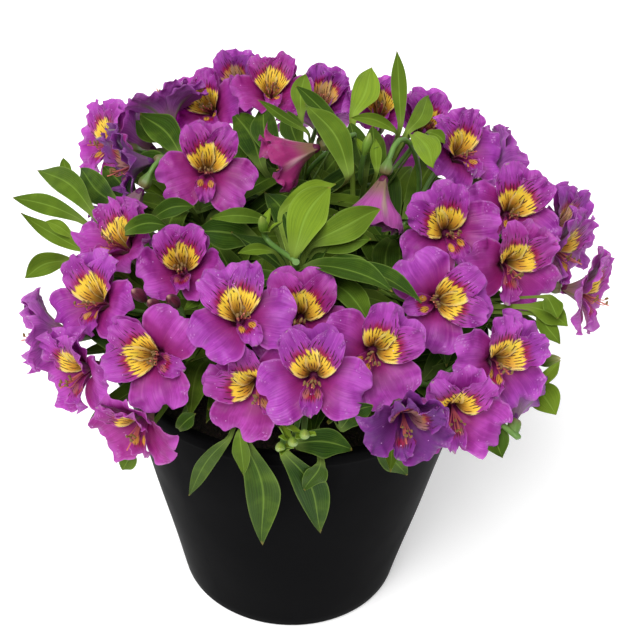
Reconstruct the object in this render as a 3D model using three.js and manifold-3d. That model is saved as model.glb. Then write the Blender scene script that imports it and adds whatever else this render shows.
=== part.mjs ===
// A potted peruvian lily (alstroemeria): a dome of magenta blooms and green leaves over a black pot.
// Millimetres, +Z up, with the origin at the middle of the pot's flat base.

import * as THREE from 'three';
import { mergeVertices } from 'three/addons/utils/BufferGeometryUtils.js';
import Module from 'manifold-3d';

const wasm = await Module();
wasm.setup();

// The pot
const POT_HEIGHT = 180;
const POT_TOP_RADIUS = 102;
const POT_BASE_RADIUS = 64.5;
const POT_WALL = 2;
const POT_FLOOR = 3;
const LIP_RADIUS = 105;
const LIP_HEIGHT = 7.5;
const LIP_BEVEL = 1;
const POT_SIDES = 32;
const DRAIN_COUNT = 6;
const DRAIN_RADIUS = 5;
const DRAIN_RING = 42;
const DRAIN_SIDES = 6;

// The soil in it
const SOIL_LEVEL = 165;
const SOIL_CROWN = 4;
const SOIL_SIDES = 16;
const SOIL_LUMP = 1.3;
const GAP = 0.3;

// The dome that the tips of the blooms reach
const DOME_CENTRE = new THREE.Vector3(7, 0, 228);
const DOME_RADIUS = 157;
const DOME_HALF_HEIGHT = 65;

// A bloom: six tepals 36 mm long on a small hub, over a green ovary
const TEPAL_THICKNESS = 1.2;
const BLOOM_FOOT = -13;
const HUB_RADIUS = 3.4;
const HUB_MIDDLE = -9.5;
const HUB_TOP = -5.5;
const OVARY_LENGTH = 8;
const OVARY_RADIUS = 3.6;
const OVARY_ROOM = 6;
const PEDICEL_RADIUS = 1.4;

// Stems and leaves
const STEM_RADIUS = 2.3;
const STEM_HOLE_DEPTH = 18;
const PLANT_HEART = new THREE.Vector3(0, 0, 150);
const STEM_SIDES = 4;
const STALK_SIDES = 3;
const STEM_STEPS = 4;
const ROOT_SHARE = 0.4;
const ROOT_MOST = 58;
const HEAD_BEHIND = 28;
const HEAD_SHARE = 0.97;
const STEM_TAPER = 0.25;
const LEAF_THICKNESS = 1.2;
const STRIP_HALF_WIDTH = 1.5;
const SHOWN_LEAF_HIGH = 0.89;
const SHOWN_LEAF_SPAN = 0.3;
const BUD_RISE = 0.3;
const RULE_LEAVES = 12;
const RULE_LEAF_LENGTH = 68;
const RULE_LEAF_HALF_WIDTH = 8;
const LEAF_LOW = 0.25;
const LEAF_STEP = 0.06;
const GOLDEN_ANGLE = 137.5;

// Where the photograph was taken from, in millimetres and degrees, with its scale and middle in pixels.
const EYE_DISTANCE = 850;
const EYE_ELEVATION = THREE.MathUtils.degToRad(39.7);
const EYE_ROLL = THREE.MathUtils.degToRad(2.52);
const EYE_AIM = new THREE.Vector3(9.2, 0, 181.6);
const FOCAL_PIXELS = 1555.8;
const PHOTO_MIDDLE = [314.5, 320];

const UP = new THREE.Vector3(0, 0, 1);
const ASIDE = new THREE.Vector3(1, 0, 0);

const EYE_BACK = new THREE.Vector3(0, -Math.cos(EYE_ELEVATION), Math.sin(EYE_ELEVATION));
const EYE = EYE_AIM.clone().addScaledVector(EYE_BACK, EYE_DISTANCE);
const EYE_RIGHT = new THREE.Vector3(1, 0, 0).applyAxisAngle(EYE_BACK, EYE_ROLL);
const EYE_UP = new THREE.Vector3().crossVectors(EYE_BACK, EYE_RIGHT);

// The direction in which a pixel of the photograph is seen.
function sight([x, y]) {
  return EYE_BACK.clone()
    .multiplyScalar(-FOCAL_PIXELS)
    .addScaledVector(EYE_RIGHT, x - PHOTO_MIDDLE[0])
    .addScaledVector(EYE_UP, PHOTO_MIDDLE[1] - y)
    .normalize();
}

// The point seen at a pixel on the near side of the dome, shrunk all round by inset. Past its edge it is
// the nearest.
function onDome(pixel, inset) {
  const across = 1 / (DOME_RADIUS - inset);
  const up = 1 / (DOME_HALF_HEIGHT - inset);
  const shrink = new THREE.Vector3(across, across, up);
  const from = EYE.clone().sub(DOME_CENTRE).multiply(shrink);
  const along = sight(pixel);
  const step = along.clone().multiply(shrink);
  const a = step.lengthSq();
  const b = from.dot(step);
  const inside = Math.max(0, b * b - a * (from.lengthSq() - 1));
  return EYE.clone().addScaledVector(along, (-b - Math.sqrt(inside)) / a);
}

// The point seen at a pixel on the near side of an upright cylinder round the pot.
function onCylinder(pixel, radius) {
  const along = sight(pixel);
  const a = along.x ** 2 + along.y ** 2;
  const b = EYE.x * along.x + EYE.y * along.y;
  const inside = Math.max(0, b * b - a * (EYE.x ** 2 + EYE.y ** 2 - radius ** 2));
  return EYE.clone().addScaledVector(along, (-b - Math.sqrt(inside)) / a);
}

// A small seeded source of numbers from 0 to 1.
function seeded(seed) {
  let state = seed >>> 0;
  return () => {
    state = (state + 0x6d2b79f5) >>> 0;
    let mix = Math.imul(state ^ (state >>> 15), state | 1);
    mix ^= mix + Math.imul(mix ^ (mix >>> 7), mix | 61);
    return ((mix ^ (mix >>> 14)) >>> 0) / 4294967296;
  };
}

// A closed geometry as a solid that can be joined and cut.
function solidOf(geometry) {
  const bare = new THREE.BufferGeometry();
  bare.setAttribute('position', geometry.getAttribute('position').clone());
  bare.setIndex(geometry.getIndex());
  const merged = mergeVertices(bare, 1e-4);
  return new wasm.Manifold(new wasm.Mesh({
    numProp: 3,
    vertProperties: merged.getAttribute('position').array,
    triVerts: new Uint32Array(merged.getIndex().array),
  }));
}

function geometryOf(solid) {
  const mesh = solid.getMesh();
  const geometry = new THREE.BufferGeometry();
  geometry.setAttribute('position', new THREE.BufferAttribute(mesh.vertProperties, 3));
  geometry.setIndex(new THREE.BufferAttribute(mesh.triVerts, 1));
  return geometry;
}

// A closed solid through its rows of points, in order round each row. A row of one point closes an end.
// The two halves of a band are split alike, so that the faces of a thin blade never meet.
function loftSolid(rows) {
  const positions = rows.flat().flatMap((point) => point.toArray());
  const faces = [];
  let start = 0;
  for (let i = 0; i + 1 < rows.length; i += 1) {
    const next = start + rows[i].length;
    const round = Math.max(rows[i].length, rows[i + 1].length);
    for (let k = 0; k < round; k += 1) {
      const l = (k + 1) % round;
      if (rows[i].length === 1) faces.push(start, next + l, next + k);
      else if (rows[i + 1].length === 1) faces.push(start + k, start + l, next);
      else if (k < round / 2) faces.push(start + k, start + l, next + l, start + k, next + l, next + k);
      else faces.push(start + k, start + l, next + k, start + l, next + l, next + k);
    }
    start = next;
  }
  for (let k = 2; k < rows[0].length; k += 1) faces.push(0, k, k - 1);
  for (let k = 2; k < rows.at(-1).length; k += 1) faces.push(start, start + k - 1, start + k);
  const geometry = new THREE.BufferGeometry();
  geometry.setAttribute('position', new THREE.Float32BufferAttribute(positions, 3));
  geometry.setIndex(faces);
  return solidOf(geometry);
}

// One row of a blade: its left edge, its right edge and its keel below. Across and out are unit vectors.
function bladeRow(middle, across, out, halfWidth, thickness) {
  return [
    middle.clone().addScaledVector(across, halfWidth),
    middle.clone().addScaledVector(across, -halfWidth),
    middle.clone().addScaledVector(out, -thickness),
  ];
}

// One row of a stem, square to along, with its corners counted from the direction of side.
function stemRow(middle, along, side, radius, sides) {
  const across = side.clone().addScaledVector(along, -side.dot(along)).normalize();
  const out = new THREE.Vector3().crossVectors(along, across);
  return Array.from({ length: sides }, (_, i) => {
    const angle = (2 * Math.PI * i) / sides;
    return middle.clone()
      .addScaledVector(across, radius * Math.cos(angle))
      .addScaledVector(out, radius * Math.sin(angle));
  });
}

// A solid turned about Z, whose profile is given as radius and height.
function turnedSolid(profile, sides) {
  const points = profile.map(([radius, height]) => new THREE.Vector2(radius, height));
  return solidOf(new THREE.LatheGeometry(points, sides).rotateX(Math.PI / 2));
}

// The pot: one moulded shell with a rolled lip and six round drain holes in its floor.
function potRadius(z) {
  return THREE.MathUtils.mapLinear(z, 0, POT_HEIGHT, POT_BASE_RADIUS, POT_TOP_RADIUS);
}

function potSolid() {
  const lipFoot = POT_HEIGHT - LIP_HEIGHT;
  const shell = turnedSolid([
    [0, 0],
    [POT_BASE_RADIUS, 0],
    [potRadius(lipFoot), lipFoot],
    [LIP_RADIUS, lipFoot],
    [LIP_RADIUS, POT_HEIGHT - LIP_BEVEL],
    [LIP_RADIUS - LIP_BEVEL, POT_HEIGHT],
    [POT_TOP_RADIUS - POT_WALL, POT_HEIGHT],
    [potRadius(POT_FLOOR) - POT_WALL, POT_FLOOR],
    [0, POT_FLOOR],
  ], POT_SIDES);
  const drains = [];
  for (let i = 0; i < DRAIN_COUNT; i += 1) {
    const angle = (2 * Math.PI * i) / DRAIN_COUNT;
    const hole = new THREE.CylinderGeometry(DRAIN_RADIUS, DRAIN_RADIUS, 4 * POT_FLOOR, DRAIN_SIDES);
    hole.rotateX(Math.PI / 2);
    hole.translate(DRAIN_RING * Math.cos(angle), DRAIN_RING * Math.sin(angle), 0);
    drains.push(solidOf(hole));
  }
  return shell.subtract(wasm.Manifold.union(drains));
}

// The soil: it fills the pot and is a little higher and lumpy in the middle.
function soilSolid() {
  const low = POT_FLOOR + GAP;
  const clear = POT_WALL + 2 * GAP;
  const edge = potRadius(SOIL_LEVEL) - clear;
  const soil = new THREE.LatheGeometry([
    new THREE.Vector2(0, low),
    new THREE.Vector2(potRadius(low) - clear, low),
    new THREE.Vector2(edge, SOIL_LEVEL),
    new THREE.Vector2(edge * 0.72, SOIL_LEVEL + SOIL_CROWN * 0.5),
    new THREE.Vector2(edge * 0.4, SOIL_LEVEL + SOIL_CROWN),
    new THREE.Vector2(0, SOIL_LEVEL + SOIL_CROWN),
  ], SOIL_SIDES);
  soil.rotateX(Math.PI / 2);
  const place = soil.getAttribute('position');
  for (let i = 0; i < place.count; i += 1) {
    if (place.getZ(i) > SOIL_LEVEL + 1) {
      const lump = Math.sin(place.getX(i) * 0.17 + 1) * Math.cos(place.getY(i) * 0.21);
      place.setZ(i, place.getZ(i) + SOIL_LUMP * lump);
    }
  }
  return solidOf(soil);
}

// The six tepals. Each leaves the hub at a turn round the flower, where 90 is up, rises to its elbow and
// bends out to its tip; elbow and tips are radius and height. Shut is where the tip of a closed bud is.
const OUTER = { foot: [0.9, -11], elbow: [6.5, 5], shut: [6, 26], claw: 2.4 };
const INNER = { foot: [0.5, -9], elbow: [4.2, 8], shut: [4, 25], claw: 1.6 };
const TEPALS = [
  { ...OUTER, turn: 90, tip: [25, 5], halfWidth: 15 },
  { ...OUTER, turn: 204, tip: [26.5, 3], halfWidth: 15.5 },
  { ...OUTER, turn: 336, tip: [26.5, 3], halfWidth: 15.5 },
  { ...INNER, turn: 59, tip: [24.5, 9], halfWidth: 8.4 },
  { ...INNER, turn: 121, tip: [24.5, 9], halfWidth: 8.4 },
  { ...INNER, turn: 270, tip: [18, 6], halfWidth: 5.5, small: true },
];

// How wide a tepal is along its length, between its pointed foot and its tip: a claw, then the broad blade.
const TEPAL_ROWS = [
  { along: 0.42, claw: 1, blade: 0.28 },
  { along: 0.72, claw: 0, blade: 1 },
  { along: 0.94, claw: 0, blade: 0.78 },
];
const SMALL_TEPAL_ROWS = [TEPAL_ROWS[0], { along: 0.8, claw: 0, blade: 1 }];

function tepalSolid(kind, open, draw) {
  const turn = THREE.MathUtils.degToRad(kind.turn + 8 * (draw() - 0.5));
  const tip = new THREE.Vector2(...kind.shut).lerp(new THREE.Vector2(...kind.tip), open);
  tip.y += 3 * (draw() - 0.5);
  const foot = new THREE.Vector2(...kind.foot);
  const path = new THREE.QuadraticBezierCurve(foot, new THREE.Vector2(...kind.elbow), tip);
  const outwards = new THREE.Vector3(Math.cos(turn), Math.sin(turn), 0);
  const across = new THREE.Vector3(-Math.sin(turn), Math.cos(turn), 0);
  const spread = THREE.MathUtils.lerp(0.7, 1, open);
  const placed = (point) => outwards.clone().multiplyScalar(point.x).setZ(point.y);
  const rows = (kind.small ? SMALL_TEPAL_ROWS : TEPAL_ROWS).map(({ along, claw, blade }) => {
    const slope = path.getTangent(along);
    const out = outwards.clone().multiplyScalar(-slope.y).setZ(slope.x);
    const halfWidth = (claw * kind.claw + blade * kind.halfWidth) * spread;
    return bladeRow(placed(path.getPoint(along)), across, out, halfWidth, TEPAL_THICKNESS);
  });
  return loftSolid([[placed(foot)], ...rows, [placed(tip)]]);
}

// A bloom in its own frame: +Z is the way it faces, +Y its top, and its throat is at the origin.
function bloomSolid(open, seed) {
  const draw = seeded(seed);
  const hub = turnedSolid([[0, BLOOM_FOOT], [HUB_RADIUS, HUB_MIDDLE], [0, HUB_TOP]], 3);
  const tepals = TEPALS.map((kind) => tepalSolid(kind, open, draw));
  return wasm.Manifold.union([hub, ...tepals]);
}

// Every stem: the blooms at its head, and the leaves and buds whose places show in the photograph, in pixels.
// A bloom faces an azimuth, 0 to the front and 90 to the right, and an elevation, and is rolled clockwise.
// On the far side a bloom stands at a bearing, 0 at the front and 90 on the right, and a height.
// A leaf runs from its foot to its tip, both on the dome and deeper or shallower by inset, or round the pot.
// Nearer brings the tip towards the eye, so that the leaf stands up.
const STEMS = [
  {
    name: 'stem_front',
    blooms: [
      { at: [313, 377], faces: [-3, 38], roll: 0 },
      { at: [255, 390], faces: [-14, 18], roll: -45, deeper: 10, behind: 6 },
      { at: [374, 352], faces: [12, 35], roll: 28 },
    ],
    buds: [[281, 446], [293, 441], [304, 434]],
    leaves: [
      { foot: [243, 438], tip: [262, 544], round: [119, 101], halfWidth: 9, arch: 7 },
      { foot: [281, 450], tip: [321, 532], round: [119, 101], halfWidth: 8.5, arch: 7 },
      { foot: [239, 430], tip: [244, 475], round: [126, 116], halfWidth: 4.5, arch: 4 },
      { foot: [292, 444], tip: [352, 449], round: [118, 122], halfWidth: 8, arch: 4 },
      { foot: [322, 462], tip: [304, 490], round: [118, 112], halfWidth: 6, arch: 3 },
      { foot: [338, 432], tip: [373, 406], inset: [28, 16], halfWidth: 6, arch: 4 },
    ],
  },
  {
    name: 'stem_front_left',
    blooms: [
      { at: [300, 318], faces: [0, 40], roll: 5, deeper: 6 },
      { at: [240, 320], faces: [-12, 42], roll: -20 },
      { at: [182, 268], faces: [-5, 52], roll: 0, open: 0.7, deeper: 2 },
    ],
    buds: [],
    leaves: [
      { foot: [232, 436], tip: [189, 496], round: [120, 106], halfWidth: 4.5, arch: 5 },
    ],
  },
  {
    name: 'stem_left_low',
    blooms: [
      { at: [153, 357], faces: [-20, 35], roll: -75 },
      { at: [145, 416], faces: [-25, -8], roll: 10, open: 0.85 },
      { at: [80, 372], faces: [-45, 10], roll: 0 },
    ],
    buds: [[145, 300], [160, 310], [178, 306]],
    leaves: [
      { foot: [133, 450], tip: [122, 471], inset: [14, 4], halfWidth: 5, arch: 2 },
      { foot: [176, 432], tip: [195, 414], inset: [22, 14], halfWidth: 4, arch: 2 },
    ],
  },
  {
    name: 'stem_left',
    blooms: [
      { at: [96, 301], faces: [-45, 40], roll: -20 },
      { at: [60, 334], faces: [-80, 10], roll: 0, open: 0.85 },
      { at: [120, 243], faces: [-60, 55], roll: 10, open: 0.85, deeper: 6 },
    ],
    buds: [],
    leaves: [
      { foot: [95, 215], tip: [38, 170], inset: [14, -4], halfWidth: 7, arch: 5 },
      { foot: [86, 222], tip: [13, 198], inset: [26, -4], halfWidth: 5.5, arch: 5 },
      { foot: [86, 250], tip: [21, 213], inset: [20, -4], halfWidth: 4.5, arch: -9 },
      { foot: [74, 238], tip: [46, 221], inset: [24, 8], halfWidth: 3.5, arch: 2 },
      { foot: [72, 260], tip: [25, 278], inset: [20, -4], halfWidth: 6, arch: 4 },
    ],
  },
  {
    name: 'stem_left_high',
    blooms: [
      { at: [109, 143], faces: [-60, 30], roll: 15 },
      { at: [130, 165], faces: [-70, 0], roll: 0, open: 0.9 },
      { at: [136, 200], faces: [-40, -30], roll: 10, behind: 12, open: 0.7 },
    ],
    buds: [],
    leaves: [
      { foot: [70, 186], tip: [63, 158], inset: [18, 4], halfWidth: 3.5, arch: 2 },
      { foot: [148, 222], tip: [194, 206], inset: [26, 20], halfWidth: 5, arch: 5 },
      { foot: [120, 234], tip: [168, 226], inset: [18, 8], halfWidth: 5, arch: 4 },
    ],
  },
  {
    name: 'stem_back_left',
    blooms: [
      { at: [207, 170], faces: [5, 45], roll: 6 },
      { at: [167, 108], faces: [200, 42], roll: 0 },
      { at: [203, 103], faces: [-10, 60], roll: 0, open: 0.85 },
      { at: [236, 86], faces: [-30, 50], roll: -20, behind: 6, open: 0.8 },
      { bearing: 248, height: 205, faces: [248, 15], roll: 0 },
      { bearing: 225, height: 224, faces: [225, 12], roll: 0, open: 0.85 },
    ],
    buds: [],
    leaves: [],
  },
  {
    name: 'stem_back',
    blooms: [
      { at: [271, 98], faces: [10, 70], roll: 0, open: 0.85 },
      { at: [297, 155], faces: [-80, -20], roll: 0, open: 0.5, deeper: 4 },
      { at: [323, 97], faces: [20, 70], roll: 15, open: 0.6 },
      { bearing: 203, height: 203, faces: [203, 15], roll: 0 },
      { bearing: 180, height: 222, faces: [180, 20], roll: 0 },
    ],
    buds: [],
    leaves: [
      { foot: [343, 130], tip: [296, 86], inset: [18, 4], halfWidth: 4.5, arch: 4 },
      { foot: [352, 183], tip: [305, 103], inset: [16, 4], halfWidth: 7.5, arch: 6 },
      { foot: [312, 135], tip: [258, 100], inset: [20, 8], halfWidth: 2.8, arch: 4 },
      { foot: [301, 117], tip: [305, 74], inset: [24, 6], halfWidth: 6, arch: 3 },
      { foot: [298, 82], tip: [281, 65], inset: [12, 2], halfWidth: 3, arch: 2 },
    ],
  },
  {
    name: 'stem_crown',
    blooms: [
      { at: [380, 112], faces: [0, 70], roll: 0, deeper: 4, open: 0.7 },
      { at: [425, 128], faces: [30, 60], roll: 0, behind: 10, open: 0.6 },
      { bearing: 158, height: 206, faces: [158, 15], roll: 0 },
    ],
    buds: [[364, 155]],
    leaves: [
      { foot: [401, 131], tip: [397, 51], inset: [14, -4], nearer: 50, halfWidth: 4.5, arch: 3 },
      { foot: [400, 134], tip: [351, 118], inset: [12, 6], halfWidth: 3.5, arch: 5 },
      { foot: [406, 134], tip: [429, 95], inset: [12, 2], halfWidth: 5.5, arch: 3 },
      { foot: [411, 131], tip: [433, 168], inset: [12, 4], halfWidth: 7, arch: 4 },
      { foot: [426, 131], tip: [445, 143], inset: [14, 6], halfWidth: 3.2, arch: 2 },
      { foot: [352, 116], tip: [372, 67], inset: [16, 2], halfWidth: 8, arch: 2 },
      { foot: [377, 174], tip: [376, 139], inset: [22, 12], halfWidth: 3.2, arch: 2 },
    ],
  },
  {
    name: 'stem_back_right',
    blooms: [
      { at: [378, 200], faces: [-20, -50], roll: 0, open: 0.5, deeper: 4 },
      { at: [461, 153], faces: [40, 50], roll: -20, open: 0.9 },
      { at: [497, 170], faces: [115, 30], roll: 0, behind: 24, open: 0.8 },
      { bearing: 135, height: 224, faces: [135, 25], roll: 0 },
    ],
    buds: [],
    leaves: [],
  },
  {
    name: 'stem_right',
    blooms: [
      { at: [512, 212], faces: [15, 45], roll: 20 },
      { at: [550, 248], faces: [60, 25], roll: 0, behind: 15 },
      { at: [572, 228], faces: [80, 30], roll: 10 },
      { at: [448, 232], faces: [5, 40], roll: -28 },
      { bearing: 112, height: 203, faces: [112, 15], roll: 0 },
    ],
    buds: [],
    leaves: [],
  },
  {
    name: 'stem_right_low',
    blooms: [
      { at: [511, 266], faces: [25, 25], roll: 20 },
      { at: [580, 292], faces: [75, -10], roll: 0 },
      { at: [438, 301], faces: [5, 40], roll: 80 },
    ],
    buds: [],
    leaves: [
      { foot: [546, 295], tip: [558, 318], inset: [10, 2], halfWidth: 5, arch: 2 },
      { foot: [528, 306], tip: [568, 326], inset: [22, 4], halfWidth: 6, arch: 3 },
      { foot: [536, 312], tip: [560, 344], inset: [20, 8], halfWidth: 4.5, arch: 3 },
    ],
  },
  {
    name: 'stem_front_right',
    blooms: [
      { at: [500, 362], faces: [25, 30], roll: 30 },
      { at: [455, 412], faces: [10, 15], roll: 0 },
      { at: [513, 415], faces: [190, 0], roll: 0, open: 0.55 },
      { at: [405, 420], faces: [-10, -10], roll: 0, open: 0.7, behind: -8 },
    ],
    buds: [[540, 363]],
    leaves: [
      { foot: [480, 420], tip: [503, 458], inset: [18, 6], halfWidth: 7, arch: 3 },
      { foot: [530, 380], tip: [556, 415], inset: [26, 6], halfWidth: 8, arch: 3 },
      { foot: [540, 384], tip: [560, 361], inset: [12, 0], halfWidth: 3.5, arch: -6 },
      { foot: [376, 448], tip: [407, 475], round: [120, 114], halfWidth: 6, arch: 3 },
    ],
  },
  {
    name: 'stem_heart',
    blooms: [],
    buds: [[264, 233]],
    head: [296, 262],
    leaves: [
      { foot: [293, 257], tip: [329, 187], inset: [18, 4], halfWidth: 10, arch: 7 },
      { foot: [277, 215], tip: [336, 184], inset: [20, 8], halfWidth: 5, arch: 10 },
      { foot: [308, 246], tip: [380, 209], inset: [20, 6], halfWidth: 8, arch: 6 },
      { foot: [313, 250], tip: [371, 239], inset: [26, 16], halfWidth: 6, arch: 4 },
      { foot: [275, 224], tip: [210, 219], inset: [20, 12], halfWidth: 4, arch: 9 },
      { foot: [276, 252], tip: [238, 253], inset: [22, 16], halfWidth: 3, arch: 3 },
      { foot: [318, 264], tip: [379, 290], inset: [34, 24], halfWidth: 8, arch: 5 },
      { foot: [258, 240], tip: [198, 232], inset: [36, 26], halfWidth: 9, arch: 6 },
    ],
  },
];

const THROAT_INSET = 20;

// The ways in which a bloom may make room: moved along the way it faces, nodding, swung aside or rolled.
const BLOOM_MOVES = [0, 3, -3, 6, -6, 9, -9, 12].flatMap((lift) => (
  [0, 9, -9, 18, -18].flatMap((nod) => (
    [0, 9, -9, 18, -18].flatMap((swing) => (
      [0, 15, -15, 30, -30].map((roll) => ({ lift, nod, swing, roll }))
    ))
  ))
)).map((move) => ({ ...move, cost: Math.hypot(move.lift / 3, move.nod / 9, move.swing / 9, move.roll / 15) }))
  .sort((a, b) => a.cost - b.cost);

function facing(azimuth, elevation) {
  const a = THREE.MathUtils.degToRad(azimuth);
  const e = THREE.MathUtils.degToRad(elevation);
  return new THREE.Vector3(Math.sin(a) * Math.cos(e), -Math.cos(a) * Math.cos(e), Math.sin(e));
}

// The point of the shrunk dome at a bearing and a height.
function roundDome(bearing, height, inset) {
  const rise = (height - DOME_CENTRE.z) / (DOME_HALF_HEIGHT - inset);
  const radius = (DOME_RADIUS - inset) * Math.sqrt(Math.max(0, 1 - rise ** 2));
  return DOME_CENTRE.clone().addScaledVector(facing(bearing, 0), radius).setZ(height);
}

function throatOf(bloom) {
  const inset = THROAT_INSET + (bloom.deeper ?? 0);
  if (bloom.at === undefined) return roundDome(bloom.bearing, bloom.height, inset);
  return onDome(bloom.at, inset).addScaledVector(sight(bloom.at), bloom.behind ?? 0);
}

// Where a bloom stands and how it is turned, once it has made room.
function bloomPose(bloom, { lift, nod, swing, roll }) {
  const ahead = facing(bloom.faces[0] + swing, bloom.faces[1] + nod);
  const top = EYE_UP.clone().applyAxisAngle(ahead, -THREE.MathUtils.degToRad(bloom.roll + roll));
  const side = new THREE.Vector3().crossVectors(top, ahead).normalize();
  top.crossVectors(ahead, side);
  return new THREE.Matrix4()
    .makeBasis(side, top, ahead)
    .setPosition(throatOf(bloom).addScaledVector(ahead, lift));
}

// What stands already, so that the next piece can be set clear of it.
const standing = [];

function boxesMeet(a, b) {
  return [0, 1, 2].every((k) => a.min[k] <= b.max[k] && b.min[k] <= a.max[k]);
}

function isClear(solid, kin) {
  const box = solid.boundingBox();
  return standing.every((other) => (
    kin.includes(other.owner)
    || !boxesMeet(box, other.box)
    || solid.intersect(other.solid).volume() < 1e-4
  ));
}

function stand(solid, owner) {
  standing.push({ solid, owner, box: solid.boundingBox() });
}

// The first of the ways to make a piece that is clear of all that stands but its kin, or nothing.
function firstClear(ways, make, owner, kin) {
  for (const way of ways) {
    const solid = make(way);
    if (isClear(solid, kin)) {
      stand(solid, owner);
      return { way, solid };
    }
  }
  return undefined;
}

// A stem: upright in its hole, then bent out to its head. Turn moves its root round the pot.
const STEM_TURNS = [0, 12, -12, 24, -24, 36, -36];

function stemPath(stem, turn) {
  const head = stem.top;
  const bearing = Math.atan2(head.y, head.x) + THREE.MathUtils.degToRad(turn);
  const radius = Math.min(ROOT_MOST, ROOT_SHARE * Math.hypot(head.x, head.y));
  const root = new THREE.Vector3(Math.cos(bearing), Math.sin(bearing), 0).multiplyScalar(radius);
  root.z = SOIL_LEVEL + SOIL_CROWN;
  const reach = root.distanceTo(head);
  return new THREE.CubicBezierCurve3(
    root,
    root.clone().setZ(root.z + 0.45 * reach),
    head.clone().addScaledVector(stem.heading, -0.35 * reach),
    head,
  );
}

function stemSolid(path) {
  const root = path.getPoint(0);
  const rows = [stemRow(root.clone().setZ(root.z - STEM_HOLE_DEPTH), UP, ASIDE, STEM_RADIUS, STEM_SIDES)];
  for (let i = 0; i <= STEM_STEPS; i += 1) {
    const along = path.getTangent(i / STEM_STEPS);
    const radius = STEM_RADIUS * (1 - STEM_TAPER * (i / STEM_STEPS));
    rows.push(stemRow(path.getPoint(i / STEM_STEPS), along, ASIDE, radius, STEM_SIDES));
  }
  return loftSolid(rows);
}

// A point on the axis of a stem's solid, which is straight between its rows.
function onStem(stem, share) {
  const step = Math.min(Math.floor(share * STEM_STEPS), STEM_STEPS - 1);
  const low = stem.path.getPoint(step / STEM_STEPS);
  const high = stem.path.getPoint((step + 1) / STEM_STEPS);
  return low.lerp(high, share * STEM_STEPS - step);
}

// The stalk of a bloom or bud: a cubic from the stem's head to its foot, which it meets along ahead.
// Bent moves the middle of it aside, at an angle round the straight line between its ends.
const BENDS = [{ by: 0, angle: 0 }].concat([6, 12, 18, 24, 32].flatMap((by) => (
  [0, 45, 90, 135, 180, 225, 270, 315].map((angle) => ({ by, angle }))
)));

// A bud may also stand nearer or farther along the sight.
const BUD_MOVES = [0, -4, 4, -8, 8, 12, 16].flatMap((back) => BENDS.map((bend) => ({ back, bend })));

function stalkPath(from, heading, foot, ahead, bend) {
  const span = foot.clone().sub(from);
  const reach = span.length();
  const aside = new THREE.Vector3().crossVectors(UP, span).setLength(bend.by);
  aside.applyAxisAngle(span.normalize(), THREE.MathUtils.degToRad(bend.angle));
  return new THREE.CubicBezierCurve3(
    from,
    from.clone().addScaledVector(heading, 0.35 * reach).add(aside),
    foot.clone().addScaledVector(ahead, -0.45 * reach).add(aside),
    foot,
  );
}

// A stalk with what it ends in, given as rows of distance past the stalk's end and radius.
const STALK_ROWS = [0.15, 0.45, 0.75];
const OVARY = [
  [0, PEDICEL_RADIUS * 1.1],
  [OVARY_LENGTH * 0.6, OVARY_RADIUS],
  [OVARY_LENGTH, OVARY_RADIUS * 0.7],
];
const BUD = [[0, PEDICEL_RADIUS], [3, 3.4], [8, 3.6], [13, 0]];

function stalkSolid(path, ahead, ending) {
  const side = Math.abs(ahead.z) > 0.9 ? ASIDE : UP;
  const rows = [[path.getPoint(0)]];
  for (const at of STALK_ROWS) {
    const along = path.getTangent(at);
    rows.push(stemRow(path.getPoint(at), along, side, PEDICEL_RADIUS, STALK_SIDES));
  }
  const foot = path.getPoint(1);
  for (const [past, radius] of ending) {
    const middle = foot.clone().addScaledVector(ahead, past);
    rows.push(radius > 0 ? stemRow(middle, ahead, side, radius, STALK_SIDES) : [middle]);
  }
  return loftSolid(rows);
}

// A leaf: a long blade, broadest past its middle, whose upper side is turned to face. It starts at a point on
// its stem and, where it has a stalk, passes its foot as a narrow strip.
const LEAF_ROWS = [{ along: 0.26, width: 0.68 }, { along: 0.55, width: 1 }, { along: 0.83, width: 0.55 }];
const RULE_LEAF_ROWS = [{ along: 0.32, width: 0.85 }, { along: 0.72, width: 0.85 }];

function leafSolid(root, path, halfWidth, face, rows) {
  const foot = path.getPoint(0);
  const tip = path.getPoint(1);
  const across = new THREE.Vector3().crossVectors(face, tip.clone().sub(foot)).normalize();
  const row = (along, ahead, width) => {
    const out = new THREE.Vector3().crossVectors(ahead, across).normalize();
    return bladeRow(path.getPoint(along), across, out, width, LEAF_THICKNESS);
  };
  const bend = foot.clone().sub(root).normalize().add(path.getTangent(0));
  const strip = root.distanceTo(foot) > 3 ? [row(0, bend, STRIP_HALF_WIDTH)] : [];
  const blade = rows.map(({ along, width }) => row(along, path.getTangent(along), width * halfWidth));
  return loftSolid([[root], ...strip, ...blade, [tip]]);
}

// The place of one end of a leaf: at a distance round the pot, or on the dome.
function leafEnd(leaf, end, k) {
  return leaf.round ? onCylinder(leaf[end], leaf.round[k]) : onDome(leaf[end], leaf.inset[k]);
}

// A leaf of the photograph. Near and far move its foot and its tip along the sight, so that it stays where
// it shows. Slide moves its root along the stem.
const LEAF_MOVES = [0, 4, -4, 8, -8, 12, -12, 16, 20].flatMap((near) => (
  [0, 4, -4, 8, -8, 12, -12, 16, 20].flatMap((far) => (
    [0, -0.15, 0.08, -0.3].map((slide) => ({ near, far, slide }))
  ))
)).sort((a, b) => Math.hypot(a.near, a.far) - Math.hypot(b.near, b.far));

function shownLeafPath(leaf, { near, far }) {
  const foot = leafEnd(leaf, 'foot', 0).addScaledVector(sight(leaf.foot), near);
  const tip = leafEnd(leaf, 'tip', 1).addScaledVector(sight(leaf.tip), far - (leaf.nearer ?? 0));
  const middle = foot.clone().lerp(tip, 0.5);
  const raised = EYE_BACK.clone().add(new THREE.Vector3(0, 0, 0.6)).normalize();
  return new THREE.QuadraticBezierCurve3(foot, middle.addScaledVector(raised, 2 * leaf.arch), tip);
}

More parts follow.
